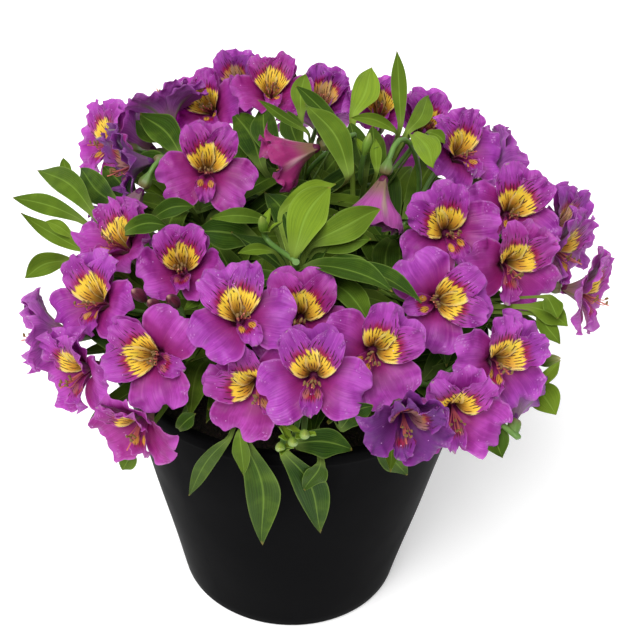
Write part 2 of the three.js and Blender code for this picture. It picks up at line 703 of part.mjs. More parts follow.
// A leaf by rule: the leaves wind round their stem by the golden angle, stand out from it and droop at
// their tips.
const RULE_MOVES = [0, 25, -25, 50, -50, 75, -75, 100, -100].flatMap((turn) => (
  [0, 12, -12].map((raise) => ({ turn, raise }))
));

function ruleLeafPath(stem, index, { turn, raise }) {
  const start = onStem(stem, LEAF_LOW + LEAF_STEP * index);
  const bearing = THREE.MathUtils.degToRad(GOLDEN_ANGLE * (index + stem.number) + turn);
  const out = new THREE.Vector3(Math.cos(bearing), Math.sin(bearing), 0);
  const away = start.clone().setZ(0).normalize();
  out.addScaledVector(away, 0.8).normalize();
  const length = RULE_LEAF_LENGTH * (0.85 + 0.3 * stem.draw[index]);
  const bend = start.clone().addScaledVector(out, 0.5 * length);
  bend.z += 0.34 * length + raise;
  const tip = start.clone().addScaledVector(out, 0.93 * length);
  tip.z += 0.12 * length + raise;
  return new THREE.QuadraticBezierCurve3(start, bend, tip);
}

function material(color, roughness) {
  return new THREE.MeshStandardMaterial({ color, roughness, metalness: 0 });
}

const BLACK_PLASTIC = material('#151517', 0.45);
const DARK_SOIL = material('#2a2019', 0.95);
const MAGENTA_PETAL = material('#b548c0', 0.55);
const GREEN_LEAF = material('#5e8a2e', 0.5);

const lily = new THREE.Group();

function place(name, solid, finish) {
  const mesh = new THREE.Mesh(geometryOf(solid), finish);
  mesh.name = name;
  lily.add(mesh);
}

const pot = potSolid();
stand(pot, 'pot');
place('pot', pot, BLACK_PLASTIC);

// Room for the ovary and the end of the stalk behind every bloom.
function postSolid(foot, top, radius) {
  return loftSolid([stemRow(foot, UP, ASIDE, radius, 4), stemRow(top, UP, ASIDE, radius, 4)]);
}

const ovaryRoom = postSolid(
  new THREE.Vector3(0, 0, BLOOM_FOOT - OVARY_LENGTH - OVARY_ROOM),
  new THREE.Vector3(0, 0, BLOOM_FOOT),
  OVARY_RADIUS,
);

// The blooms come first, in the order of the table.
function placeBloom(bloom, number) {
  bloom.name = `bloom_${String(number).padStart(2, '0')}`;
  const shape = bloomSolid(bloom.open ?? 1, number);
  const room = shape.add(ovaryRoom);
  const moved = (move) => room.transform(bloomPose(bloom, move).elements);
  const clear = firstClear(BLOOM_MOVES, moved, bloom.name, []);
  if (!clear) throw new Error(`${bloom.name} has no clear place`);
  const pose = bloomPose(bloom, clear.way);
  bloom.ahead = new THREE.Vector3().setFromMatrixColumn(pose, 2);
  bloom.foot = new THREE.Vector3().setFromMatrixPosition(pose)
    .addScaledVector(bloom.ahead, BLOOM_FOOT - GAP - OVARY_LENGTH);
  place(bloom.name, shape.transform(pose.elements), MAGENTA_PETAL);
}

STEMS.flatMap((stem) => stem.blooms).forEach((bloom, i) => placeBloom(bloom, i + 1));

// Then every stem. Its head lies behind the feet of its blooms, away from the heart of the plant.
function raiseStem(stem, number) {
  const feet = stem.blooms.map((bloom) => bloom.foot);
  const middle = feet.length
    ? feet.reduce((sum, foot) => sum.add(foot), new THREE.Vector3()).divideScalar(feet.length)
    : onDome(stem.head, THROAT_INSET);
  stem.heading = middle.clone().sub(PLANT_HEART).normalize();
  stem.top = middle.clone().addScaledVector(stem.heading, feet.length ? -HEAD_BEHIND : 0);
  stem.number = number;
  stem.draw = Array.from({ length: RULE_LEAVES }, seeded(100 + number));
  stem.trunkName = `${stem.name} trunk`;
  stem.stalkName = `${stem.name} stalk`;
  stem.leafName = `${stem.name} leaf`;
  const clear = firstClear(STEM_TURNS, (turn) => stemSolid(stemPath(stem, turn)), stem.trunkName, []);
  if (!clear) throw new Error(`${stem.name} has no clear way up`);
  stem.path = stemPath(stem, clear.way);
  stem.parts = [clear.solid];
}

STEMS.forEach(raiseStem);

// The soil with a plain hole for each stem.
const holes = STEMS.map((stem) => {
  const root = stem.path.getPoint(0);
  const foot = root.clone().setZ(root.z - STEM_HOLE_DEPTH - GAP);
  return postSolid(foot, root.clone().setZ(root.z + STEM_RADIUS), STEM_RADIUS + 2 * GAP);
});
const soil = soilSolid().subtract(wasm.Manifold.union(holes));
stand(soil, 'soil');
place('soil', soil, DARK_SOIL);

// Stalks of the blooms and buds.
function grow(stem, ways, make, owner, kin) {
  const clear = firstClear(ways, make, owner, kin);
  if (!clear) throw new Error(`${owner}, piece ${stem.parts.length}, has no clear place`);
  stem.parts.push(clear.solid);
}

function growStalk(stem, bloom) {
  grow(stem, BENDS, (bend) => {
    const path = stalkPath(onStem(stem, HEAD_SHARE), stem.heading, bloom.foot, bloom.ahead, bend);
    return stalkSolid(path, bloom.ahead, OVARY);
  }, stem.stalkName, [stem.trunkName, stem.stalkName, bloom.name]);
}

function growBud(stem, bud) {
  grow(stem, BUD_MOVES, ({ back, bend }) => {
    const foot = onDome(bud, THROAT_INSET).addScaledVector(sight(bud), back);
    const ahead = foot.clone().sub(PLANT_HEART).normalize().addScaledVector(UP, BUD_RISE).normalize();
    const path = stalkPath(onStem(stem, HEAD_SHARE), stem.heading, foot, ahead, bend);
    return stalkSolid(path, ahead, BUD);
  }, stem.stalkName, [stem.trunkName, stem.stalkName]);
}

for (const stem of STEMS) {
  stem.blooms.forEach((bloom) => growStalk(stem, bloom));
  stem.buds.forEach((bud) => growBud(stem, bud));
}

// Leaves that show in the photograph. Those of one stem may join one another and its stalks.
function growShownLeaf(stem, leaf, index) {
  const share = SHOWN_LEAF_HIGH - SHOWN_LEAF_SPAN * (index / stem.leaves.length);
  const face = leaf.round ? facing(0, 10).lerp(EYE_BACK, 0.5) : EYE_BACK;
  grow(stem, LEAF_MOVES, (move) => (
    leafSolid(onStem(stem, share + move.slide), shownLeafPath(leaf, move), leaf.halfWidth, face, LEAF_ROWS)
  ), stem.leafName, [stem.trunkName, stem.stalkName, stem.leafName]);
}

for (const stem of STEMS) {
  stem.leaves.forEach((leaf, index) => growShownLeaf(stem, leaf, index));
}

// Leaves by rule, which fill the inside. One that has no clear place is left out.
function growRuleLeaf(stem, index) {
  const clear = firstClear(RULE_MOVES, (move) => {
    const path = ruleLeafPath(stem, index, move);
    return leafSolid(path.getPoint(0), path, RULE_LEAF_HALF_WIDTH, UP, RULE_LEAF_ROWS);
  }, stem.leafName, [stem.trunkName]);
  if (clear) stem.parts.push(clear.solid);
}

for (const stem of STEMS) {
  for (let index = 0; index < RULE_LEAVES; index += 1) growRuleLeaf(stem, index);
  place(stem.name, wasm.Manifold.union(stem.parts), GREEN_LEAF);
}

export default lily;
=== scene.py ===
import math
from collections import namedtuple

import bpy
import numpy as np
from mathutils import Matrix, Vector, noise
from mathutils.kdtree import KDTree


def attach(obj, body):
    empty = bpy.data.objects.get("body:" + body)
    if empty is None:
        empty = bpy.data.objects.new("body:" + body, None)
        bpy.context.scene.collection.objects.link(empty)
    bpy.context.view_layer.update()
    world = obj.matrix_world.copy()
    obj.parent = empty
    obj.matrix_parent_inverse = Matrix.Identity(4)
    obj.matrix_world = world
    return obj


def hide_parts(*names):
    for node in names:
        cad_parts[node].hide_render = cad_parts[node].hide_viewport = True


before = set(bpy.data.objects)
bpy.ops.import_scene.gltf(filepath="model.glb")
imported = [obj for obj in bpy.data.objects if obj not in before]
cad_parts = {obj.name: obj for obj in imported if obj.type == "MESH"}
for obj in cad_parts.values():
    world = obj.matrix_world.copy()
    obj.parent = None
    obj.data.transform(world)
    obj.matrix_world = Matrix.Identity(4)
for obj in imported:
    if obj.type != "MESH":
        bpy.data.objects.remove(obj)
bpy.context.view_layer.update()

# The pot.
# A plain black nursery pot, moulded in one piece from thin plastic. Its wall leans out to a narrow
# rolled lip and waves a little, and six round holes in its floor let water out.
MM = 0.001
POT_HEIGHT = 180
POT_TOP = 102
POT_BASE = 64.5
POT_WALL = 2
POT_FLOOR = 3
LIP_RADIUS = 105
LIP_HEIGHT = 7.5
POT_SIDES = 144
WALL_RINGS = 26
WALL_WAVE = 0.35
DRAIN_COUNT = 6
DRAIN_RADIUS = 5
DRAIN_RING = 42
DRAIN_SIDES = 24


def colour(code):
    """A colour written as six hexadecimal digits, as the shader takes it."""
    parts = [int(code[k:k + 2], 16) / 255 for k in (0, 2, 4)]
    linear = [c / 12.92 if c <= 0.04045 else ((c + 0.055) / 1.055) ** 2.4 for c in parts]
    return (*linear, 1)


def wire(tree, kind, inputs=(), **settings):
    """Adds a node, a shader node if not told otherwise, and fills or joins its inputs."""
    made = tree.nodes.new(kind if "Node" in kind else "ShaderNode" + kind)
    for key, value in settings.items():
        setattr(made, key, value)
    for key, value in dict(inputs).items():
        if isinstance(value, Tone):
            tree.links.new(value.socket, made.inputs[key])
        else:
            made.inputs[key].default_value = colour(value) if isinstance(value, str) else value
    return made


class Tone:
    """A number or colour that changes over a surface. Working on it adds shader nodes."""

    def __init__(self, made, output=0):
        self.socket = made.outputs[output]
        self.tree = made.id_data

    def worked(self, operation, other=0.0):
        return Tone(wire(self.tree, "Math", {0: self, 1: other}, operation=operation))

    def __add__(self, other):
        return self.worked("ADD", other)

    def __sub__(self, other):
        return self.worked("SUBTRACT", other)

    def __mul__(self, other):
        return self.worked("MULTIPLY", other)

    def __abs__(self):
        return self.worked("ABSOLUTE")

    def rise(self, low, high, start=0.0, end=1.0):
        """Goes smoothly from start to end as the tone goes from low to high."""
        stops = enumerate((self, low, high, start, end))
        return Tone(wire(self.tree, "MapRange", stops, interpolation_type="SMOOTHSTEP"))

    def swap(self, first, second):
        """One number where this tone is 0 and another where it is 1."""
        return Tone(wire(self.tree, "Mix", {0: self, 2: first, 3: second}))


def join(node, tones):
    """Joins tones to the inputs of a node, given by name."""
    for title, tone in tones.items():
        node.id_data.links.new(tone.socket, node.inputs[title])


def painted(shade, *coats):
    """A shade under coats of colour, each given as how much of it shows and its colour."""
    for share, coat in coats:
        shade = Tone(wire(share.tree, "Mix", {0: share, 6: shade, 7: coat}, data_type="RGBA"), 2)
    return shade


def speckle(tree, scale, detail=2.0, stretch=None, where=None):
    """Soft noise from 0 to 1, over the object unless another place is given."""
    where = where or Tone(wire(tree, "TexCoord"), "Object")
    if stretch:
        where = Tone(wire(tree, "VectorMath", {0: where, 1: stretch}, operation="MULTIPLY"))
    return Tone(wire(tree, "TexNoise", {"Vector": where, "Scale": scale, "Detail": detail}), "Fac")


def new_finish(name, roughness, **sockets):
    """A material, its node tree and its Principled shader with plain values on its sockets."""
    made = bpy.data.materials.new(name)
    made.use_nodes = True
    shader = made.node_tree.nodes["Principled BSDF"]
    shader.inputs["Roughness"].default_value = roughness
    for socket, value in sockets.items():
        shader.inputs[socket.replace("_", " ")].default_value = value
    return made, made.node_tree, shader


def dress(shader, shade, height=None, distance=0.0, strength=1.0, roughness=None):
    """Joins a shade to a shader, with a bump of a height in metres and a changing roughness."""
    joins = {"Base Color": shade}
    if height:
        raised = {"Height": height, "Distance": distance, "Strength": strength}
        joins["Normal"] = Tone(wire(shade.tree, "Bump", raised))
    if roughness:
        joins["Roughness"] = roughness
    join(shader, joins)


def new_object(name, points, faces):
    """A plain mesh from points in millimetres."""
    mesh = bpy.data.meshes.new(name)
    mesh.from_pydata((np.asarray(points) * MM).tolist(), [], faces)
    made = bpy.data.objects.new(name, mesh)
    bpy.context.scene.collection.objects.link(made)
    return made


def new_piece(name, points, faces, finishes, slot, nodes, finish_of_face=None, sharp=40):
    """A piece of the object, with what it rides on and stands for."""
    piece = new_object(name, points, faces)
    for finish in finishes:
        piece.data.materials.append(finish)
    if finish_of_face is not None:
        piece.data.polygons.foreach_set("material_index", finish_of_face)
    piece.data.shade_smooth()
    piece.data.set_sharp_from_angle(angle=math.radians(sharp))
    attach(piece, "root")
    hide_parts(*nodes)
    return piece


def apply_modifiers(piece):
    """The piece's mesh as its modifiers leave it, and no modifiers."""
    done = bpy.data.meshes.new_from_object(piece.evaluated_get(bpy.context.evaluated_depsgraph_get()))
    piece.modifiers.clear()
    piece.data = done


def bands(first, last, sides):
    """Faces between rings of points, from the ring that starts at one point to the last."""
    return [(low + k, low + (k + 1) % sides, low + sides + (k + 1) % sides, low + sides + k)
            for low in range(first, last, sides) for k in range(sides)]


def turned(profile, sides, wave=0.0):
    """Points and faces of a closed body turned about Z. Its profile starts and ends on the axis."""
    angles = np.linspace(0, 2 * math.pi, sides, endpoint=False)
    points = [(0, 0, profile[0][1])]
    for radius, height in profile[1:-1]:
        ripple = np.sin(3 * angles + height * 0.03) * np.sin(height * 0.045 + 2 * np.sin(angles))
        reach = radius + wave * ripple
        points += zip(reach * np.cos(angles), reach * np.sin(angles), np.full(sides, height))
    points.append((0, 0, profile[-1][1]))
    top = len(points) - 1 - sides
    around = [(k, (k + 1) % sides) for k in range(sides)]
    faces = [(0, 1 + after, 1 + k) for k, after in around]
    faces += bands(1, top, sides)
    faces += [(top + k, top + after, len(points) - 1) for k, after in around]
    return np.array(points, float), faces


def pot_radius(height):
    return POT_BASE + (POT_TOP - POT_BASE) * height / POT_HEIGHT


def pot_profile():
    foot = [(0, 0), (POT_BASE - 14, 0), (POT_BASE - 1.2, 0), (POT_BASE - 0.3, 0.4)]
    lip_foot = POT_HEIGHT - LIP_HEIGHT
    outside = [(pot_radius(z), z) for z in np.linspace(1.2, lip_foot - 1, WALL_RINGS)]
    lip = [(pot_radius(lip_foot) + 0.5, lip_foot - 0.3)]
    lip += [(LIP_RADIUS - back, lip_foot + up) for back, up in ((0.9, 0), (0.2, 0.5), (0, 1.4))]
    lip += [(LIP_RADIUS - back, POT_HEIGHT - down) for back, down in ((0, 1.6), (0.4, 0.6), (1.3, 0))]
    mouth = POT_TOP - POT_WALL
    lip += [(mouth + 1, POT_HEIGHT), (mouth + 0.1, POT_HEIGHT - 1)]
    inside = [(pot_radius(z) - POT_WALL, z) for z in np.linspace(POT_HEIGHT - 4, POT_FLOOR + 1, WALL_RINGS)]
    floor = [(pot_radius(POT_FLOOR) - POT_WALL - 1, POT_FLOOR), (POT_BASE - 16, POT_FLOOR), (0, POT_FLOOR)]
    return foot + outside + lip + inside + floor


black_plastic, tree, shader = new_finish("black_plastic", 0.42, Specular_IOR_Level=0.004)
cloud = speckle(tree, 14, 3)
worn = speckle(tree, 60, 4, (1, 1, 0.12)).rise(0.58, 0.75) * 0.3
waves = speckle(tree, 22, 2, (1, 1, 0.6)) + speckle(tree, 900) * 0.02
dress(shader, painted("0B0B0C", (cloud, "101011"), (worn, "1A1A1C")), waves, 0.0012, 0.6,
      (cloud + worn).rise(0.3, 1.0, 0.36, 0.58))

pot = new_piece("black_pot", *turned(pot_profile(), POT_SIDES, WALL_WAVE), [black_plastic], "pot", ["pot"])
cutters = []
for k in range(DRAIN_COUNT):
    turn = 2 * math.pi * k / DRAIN_COUNT
    points, faces = turned([(0, -6), (DRAIN_RADIUS, -6), (DRAIN_RADIUS, 6), (0, 6)], DRAIN_SIDES)
    points += (DRAIN_RING * math.cos(turn), DRAIN_RING * math.sin(turn), 0)
    cut = pot.modifiers.new("drain", "BOOLEAN")
    cut.object = new_object("drain", points, faces)
    cut.solver = "EXACT"
    cutters.append(cut.object)
apply_modifiers(pot)
for cutter in cutters:
    bpy.data.objects.remove(cutter)

# The soil.
# Dark, crumbly peat compost with white perlite. It fills the pot to a finger's width below the lip
# and is a little higher and lumpy in the middle.
SOIL_LEVEL = 165
SOIL_FOOT = 3.3
SOIL_CROWN = 4
SOIL_GAP = 2.6
SOIL_SIDES = 120
SOIL_RINGS = 44
SOIL_LUMP = 1.3
SOIL_CRUMB = 1.6
FULL_TURN = 6.28

edge = pot_radius(SOIL_LEVEL) - SOIL_GAP
walls = [SOIL_FOOT, *np.linspace(20, SOIL_LEVEL - 1, 10)]
points, faces = turned(
    [(0, SOIL_FOOT)] + [(pot_radius(z) - SOIL_GAP, z) for z in walls]
    + [(edge * (1 - k / SOIL_RINGS), SOIL_LEVEL) for k in range(SOIL_RINGS)] + [(0, SOIL_LEVEL)], SOIL_SIDES)
top = points[:, 2] > SOIL_LEVEL - 0.5
share = np.hypot(points[:, 0], points[:, 1]) / edge
crown = SOIL_CROWN * np.clip((1 - share) / 0.6, 0, 1)
lump = SOIL_LUMP * np.sin(points[:, 0] * 0.17 + 1) * np.cos(points[:, 1] * 0.21)
crumb = SOIL_CRUMB * np.array([noise.fractal(Vector(p) * 0.22, 0.8, 2.0, 4) for p in points])
points[:, 2] += np.where(top, crown + lump + crumb, 0)

dark_soil, tree, shader = new_finish("dark_soil", 0.95)
place = Tone(wire(tree, "TexCoord"), "Object")
clods = Tone(wire(tree, "TexVoronoi", {"Vector": place, "Scale": 420.0}), "Distance")
fibre = speckle(tree, 700, 5)
damp = speckle(tree, 30, 3)
shade = painted("3A2A1E", (clods, "15100C"), (fibre.rise(0.62, 0.75), "5C4632"), (damp * 0.5, "0E0A08"))
dress(shader, shade, clods + fibre, 0.0012)
soil = new_piece("potting_soil", points, faces, [dark_soil], "soil", ["soil"], sharp=80)


def speckled(name, roughness, scale, detail, first, second, relief=0.0, **sockets):
    """A material that goes from one colour to another in soft speckles, with a relief in metres."""
    made, tree, shader = new_finish(name, roughness, **sockets)
    tone = speckle(tree, scale, detail)
    dress(shader, painted(first, (tone, second)), tone if relief else None, relief)
    return made


def new_group(name, given, made, kind="ShaderNodeTree"):
    """A node group with sockets given as title and kind, with what it is given and its last node."""
    group = bpy.data.node_groups.new(name, kind)
    for way, sockets in (("INPUT", given), ("OUTPUT", made)):
        for title, socket in sockets.items():
            group.interface.new_socket(title, in_out=way, socket_type="NodeSocket" + socket)
    start = group.nodes.new("NodeGroupInput")
    return group, {title: Tone(start, title) for title in given}, group.nodes.new("NodeGroupOutput")


def scattered(name, over, grains, smallest, largest, finish, seed):
    """Small lumps strewn over the top of a piece, as one plain mesh made by Geometry Nodes."""
    values = {"Grains": grains, "Smallest": smallest, "Largest": largest, "Finish": finish}
    sockets = {"Surface": "Geometry", **dict.fromkeys(values, "Float"), "Finish": "Material"}
    tree, given, taken = new_group(name, sockets, {"Lumps": "Geometry"}, "GeometryNodeTree")

    def node(kind, inputs=(), output=0, **settings):
        return Tone(wire(tree, kind, inputs, **settings), output)

    height = node("SeparateXYZ", {0: node("GeometryNodeInputNormal")}, "Z")
    upward = node("FunctionNodeCompare", {0: height, 1: 0.6}, operation="GREATER_THAN")
    strewn = node("GeometryNodeDistributePointsOnFaces", {
        "Mesh": given["Surface"], "Selection": upward, "Density": given["Grains"], "Seed": seed}, "Points")
    low, high = (node("CombineXYZ", dict.fromkeys(range(3), given[title]))
                 for title in ("Smallest", "Largest"))
    size = node("FunctionNodeRandomValue", {0: low, 1: high}, data_type="FLOAT_VECTOR")
    turn = node("FunctionNodeRandomValue", {1: (FULL_TURN,) * 3, "Seed": seed + 1}, data_type="FLOAT_VECTOR")
    lump = node("GeometryNodeMeshIcoSphere", {"Subdivisions": 2})
    stood = node("GeometryNodeInstanceOnPoints", {
        "Points": strewn, "Instance": lump, "Rotation": turn, "Scale": size})
    real = node("GeometryNodeRealizeInstances", {0: stood})
    coated = node("GeometryNodeSetMaterial", {"Geometry": real, "Material": given["Finish"]})
    join(taken, {"Lumps": coated})
    carrier = bpy.data.objects.new(name, over.data)
    bpy.context.scene.collection.objects.link(carrier)
    step = carrier.modifiers.new(name, "NODES")
    step.node_group = tree
    for title, value in values.items():
        step[tree.interface.items_tree[title].identifier] = value
    apply_modifiers(carrier)
    carrier.data.shade_smooth()
    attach(carrier, "root")


scattered("soil_crumbs", soil, 26000.0, 0.5 * MM, 2.2 * MM, dark_soil, 3)
perlite = speckled("perlite", 0.8, 900, 3, "CFC9BC", "F1EEE6", 0.0004)
scattered("perlite_grains", soil, 1500.0, 0.7 * MM, 1.7 * MM, perlite, 8)

# Leafy stems.
# Thirteen soft green stems stand in the soil and lean out to the edge of the dome. Each carries long
# pointed leaves with veins along them, and ends in stalks with ribbed green ovaries and a few buds.
DOME_CENTRE = Vector((7, 0, 228))
DOME_RADIUS = 157
DOME_HALF_HEIGHT = 65
EYE_DISTANCE = 850
EYE_ELEVATION = math.radians(39.7)
EYE_ROLL = math.radians(2.52)
EYE_AIM = Vector((9.2, 0, 181.6))
FOCAL_PIXELS = 1555.8
PHOTO_SIZE = (629, 640)
UP = Vector((0, 0, 1))
ASIDE = Vector((1, 0, 0))
PLANT_HEART = Vector((0, 0, 150))
EYE_BACK = Vector((0, -math.cos(EYE_ELEVATION), math.sin(EYE_ELEVATION)))
EYE = EYE_AIM + EYE_DISTANCE * EYE_BACK
EYE_RIGHT = Matrix.Rotation(EYE_ROLL, 3, EYE_BACK) @ ASIDE
EYE_UP = EYE_BACK.cross(EYE_RIGHT)


def sight(pixel):
    """The direction in which a pixel of the photograph is seen."""
    x, y = pixel
    return (-FOCAL_PIXELS * EYE_BACK + (x - PHOTO_SIZE[0] / 2) * EYE_RIGHT
            + (PHOTO_SIZE[1] / 2 - y) * EYE_UP).normalized()


def near_root(a, b, c):
    """The smaller root of a x x + 2 b x + c, or where it is least."""
    return (-b - math.sqrt(max(0, b * b - a * c))) / a


def on_dome(pixel, inset):
    """The point seen at a pixel on the near side of the dome, shrunk all round by inset."""
    wide = 1 / (DOME_RADIUS - inset)
    shrink = Vector((wide, wide, 1 / (DOME_HALF_HEIGHT - inset)))
    start, step = (EYE - DOME_CENTRE) * shrink, sight(pixel) * shrink
    return EYE + sight(pixel) * near_root(step.dot(step), start.dot(step), start.dot(start) - 1)


def on_cylinder(pixel, radius):
    """The point seen at a pixel on the near side of an upright cylinder round the pot."""
    start, step = EYE.to_2d(), sight(pixel).to_2d()
    return EYE + sight(pixel) * near_root(step.dot(step), start.dot(step), start.dot(start) - radius ** 2)


def facing(azimuth, elevation):
    a, e = math.radians(azimuth), math.radians(elevation)
    return Vector((math.sin(a) * math.cos(e), -math.cos(a) * math.cos(e), math.sin(e)))


def seeded(seed):
    """The same small source of numbers from 0 to 1 that shapes the solids."""
    state = [seed]
    full = 0xFFFFFFFF

    def draw():
        state[0] = (state[0] + 0x6D2B79F5) & full
        s = state[0]
        mix = ((s ^ (s >> 15)) * (s | 1)) & full
        mix ^= (mix + (((mix ^ (mix >> 7)) * (mix | 61)) & full)) & full
        return (mix ^ (mix >> 14)) / 4294967296
    return draw


def corners_of(node):
    """The corners of a solid in millimetres without repeats, and a finder for them."""
    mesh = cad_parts[node].data
    flat = np.empty(len(mesh.vertices) * 3)
    mesh.vertices.foreach_get("co", flat)
    corners = np.unique(np.round(flat.reshape(-1, 3) * 1000, 3), axis=0)
    finder = KDTree(len(corners))
    for i, corner in enumerate(corners):
        finder.insert(corner, i)
    finder.balance()
    return corners, finder


# How near, in millimetres, a corner must be found to count.
CLOSE = 0.08


def nearest_way(finder, ways, corners_for):
    """The way of placing a part whose corners are found on the solid most often."""
    best, most = None, 0
    for way in ways:
        hits = sum(finder.find(point)[2] < CLOSE for point in corners_for(way))
        if hits > most:
            best, most = way, hits
    return best


def bezier(ends, t):
    """Point and direction at t on the curve through two, three or four control points."""
    points = list(ends)
    while len(points) > 2:
        points = [a.lerp(b, t) for a, b in zip(points, points[1:])]
    return points[0].lerp(points[1], t), (points[1] - points[0]).normalized()


def ring(middle, along, side, radius, sides):
    radius = float(radius)
    across = (side - along * side.dot(along)).normalized()
    out = along.cross(across)
    turns = [2 * math.pi * k / sides for k in range(sides)]
    return [middle + radius * (math.cos(a) * across + math.sin(a) * out) for a in turns]


def unit(vectors):
    return vectors / np.maximum(np.linalg.norm(vectors, axis=-1, keepdims=True), 1e-9)


def eased(values, rounds=2):
    """A row of points with its corners rounded off and its ends kept."""
    values = np.array(values, float)
    for _ in range(rounds):
        values[1:-1] = (values[:-2] + 2 * values[1:-1] + values[2:]) / 4
    return values


# Edges that turn by more degrees than this stay hard.
HARD_TURN = 75


class Growth:
    """What a grown piece is made of. Place is across, along and a draw. Tint is kind, upper side, and age
    that is partly painted shade.
    """

    def __init__(self):
        self.points, self.faces, self.place, self.tint, self.finish = [], [], [], [], []
        self.count = 0

    def add(self, points, faces, place, tint, finish):
        points = np.asarray(points, float).reshape(-1, 3)
        self.faces += [tuple(self.count + k for k in face) for face in faces]
        self.finish += [finish] * len(faces)
        self.points.append(points)
        self.place.append(np.broadcast_to(np.asarray(place, float), points.shape))
        self.tint.append(np.broadcast_to(np.asarray(tint, float), points.shape))
        self.count += len(points)

    def piece(self, name, finishes, slot, node):
        points = np.concatenate(self.points)
        made = new_piece(name, points, self.faces, finishes, slot, [node], self.finish, HARD_TURN)
        for title, values in (("place", self.place), ("tint", self.tint)):
            kept = made.data.attributes.new(title, "FLOAT_VECTOR", "POINT")
            kept.data.foreach_set("vector", np.concatenate(values).astype(np.float32).ravel())


def plate(growth, upper, lower, place, kind, age, finish):
    """A thin closed blade between two grids of points, given as rows by columns."""
    low = upper.shape[0] * upper.shape[1]
    index = np.arange(low).reshape(upper.shape[:2])
    corners = index[:-1, :-1], index[:-1, 1:], index[1:, 1:], index[1:, :-1]
    quads = np.stack(corners, -1).reshape(-1, 4)
    faces = quads.tolist() + (quads[:, ::-1] + low).tolist()
    rim = np.concatenate([index[0, :-1], index[:-1, -1], index[-1, :0:-1], index[:0:-1, 0]])
    faces += [(a, a + low, b + low, b) for a, b in zip(rim, np.roll(rim, -1))]
    place = place.reshape(-1, 3)
    tint = np.zeros((2 * low, 3))
    tint[:] = kind, 0, age
    tint[:low, 1] = 1
    growth.add(np.concatenate([upper.reshape(-1, 3), lower.reshape(-1, 3)]),
               faces, np.concatenate([place, place]), tint, finish)


def tube(growth, rings, kind, age, finish, draw=0.0, reach=1.0):
    """A closed round body through rings of points. Its marks go along from 0 to reach."""
    sides, last = len(rings[0]), len(rings) - 1
    points = np.array([point for one in rings for point in one], float)
    faces = bands(0, last * sides, sides)
    faces.append(tuple(range(sides))[::-1])
    faces.append(tuple(range(last * sides, last * sides + sides)))
    along = np.repeat(np.linspace(0, reach, last + 1), sides)
    around = np.tile(np.linspace(-1, 1, sides), last + 1)
    place = np.stack([around, along, np.full(len(points), draw)], 1)
    growth.add(points, faces, place, (kind, 1, age), finish)


# A profile is how wide a leaf is, as shares of its half width, at shares of its length.
LEAF_PROFILE = ([0, 0.1, 0.26, 0.4, 0.55, 0.7, 0.83, 0.93, 1],
                [0.2, 0.38, 0.68, 0.9, 1, 0.86, 0.55, 0.25, 0.02])
RULE_PROFILE = ([0, 0.12, 0.32, 0.5, 0.72, 0.86, 0.95, 1], [0.14, 0.42, 0.85, 0.97, 0.85, 0.5, 0.2, 0.02])
LEAF_COLUMNS = np.array([-1, -0.8, -0.54, -0.27, 0, 0.27, 0.54, 0.8, 1])
LEAF_STEPS = 24
SMALL_LEAF_STEPS = 18
LEAF_THICKNESS = 0.45
EDGE_THINNING = 0.6
LEAF_SWEEP = 0.06
LEAF_TWIST = math.radians(26)
LEAF_RUFFLE = 0.1
LEAF_FOLD = (1.1, 0.13)
LEAF_RIB = 0.1
LEAF_RIBS = 7
PETIOLE_HALF_WIDTH = 1.3
PETIOLE_STEPS = 6
# Marks of kind: 0 to 2 are blades and tepals, and the shaders of stalks know these.
BLADE, STALK, OVARY, BUD = 0, 3, 4, 5
LEAF_FINISH, STEM_FINISH = 0, 1


def grow_leaf(growth, root, path, half_width, face, profile, chance, age, count=LEAF_STEPS, bow=0.0):
    """A leaf blade along its path, folded a little at the midrib, with waves along its edges."""
    foot, tip = Vector(path[0]), Vector(path[-1])
    along = np.linspace(0, 1, count)
    centre = [bezier(path, t)[0] for t in along]
    width = np.interp(along, *profile) * half_width
    if (foot - root).length > 3:
        shares = [k / PETIOLE_STEPS for k in range(PETIOLE_STEPS)]
        centre = [root.lerp(foot, k) - bow * math.sin(math.pi * k) * EYE_BACK for k in shares] + centre
        width = np.concatenate([np.full(PETIOLE_STEPS, PETIOLE_HALF_WIDTH), width])
        along = np.concatenate([np.zeros(PETIOLE_STEPS), along])
    centre = eased(centre, 3)
    width = np.maximum(eased(width), 0.25)
    width[:5] = np.maximum(width[:5], 1)
    flat = np.array(face.cross(tip - foot).normalized())
    sweep = LEAF_SWEEP * (tip - foot).length * chance.uniform(-1, 1)
    centre = centre + sweep * np.sin(math.pi * along)[:, None] ** 1.5 * flat
    ahead = unit(np.gradient(centre, axis=0))
    out = unit(np.cross(ahead, flat))
    across = np.cross(out, ahead)
    twist = (LEAF_TWIST * (chance.random() - 0.5) * 2 * along ** 2)[:, None]
    cos, sin = np.cos(twist), np.sin(twist)
    across, out = across * cos + out * sin, out * cos - across * sin
    u = LEAF_COLUMNS[None, :]
    waves = np.sin(along[:, None] * chance.uniform(9, 15) + chance.uniform(0, 6) + np.sign(u))
    fold = (np.abs(u) ** 1.2 - 1) * (LEAF_FOLD[0] + LEAF_FOLD[1] * half_width)
    ribs = LEAF_RIB * np.cos(u * LEAF_RIBS * math.pi) * (1 - np.abs(u) ** 4)
    lift = ((fold + ribs) * np.clip(width / half_width, 0.1, 1)[:, None]
            + LEAF_RUFFLE * half_width * waves * np.abs(u) ** 2)
    sideways = across[:, None] * (u * width[:, None])[..., None]
    upper = centre[:, None] + sideways + out[:, None] * lift[..., None]
    thick = LEAF_THICKNESS * (1 - EDGE_THINNING * np.abs(u) ** 2) * np.ones_like(lift)
    lower = upper - out[:, None] * thick[..., None]
    place = np.stack(np.broadcast_arrays(u, along[:, None], chance.random()), -1)
    plate(growth, upper, lower, place, BLADE, age, LEAF_FINISH)


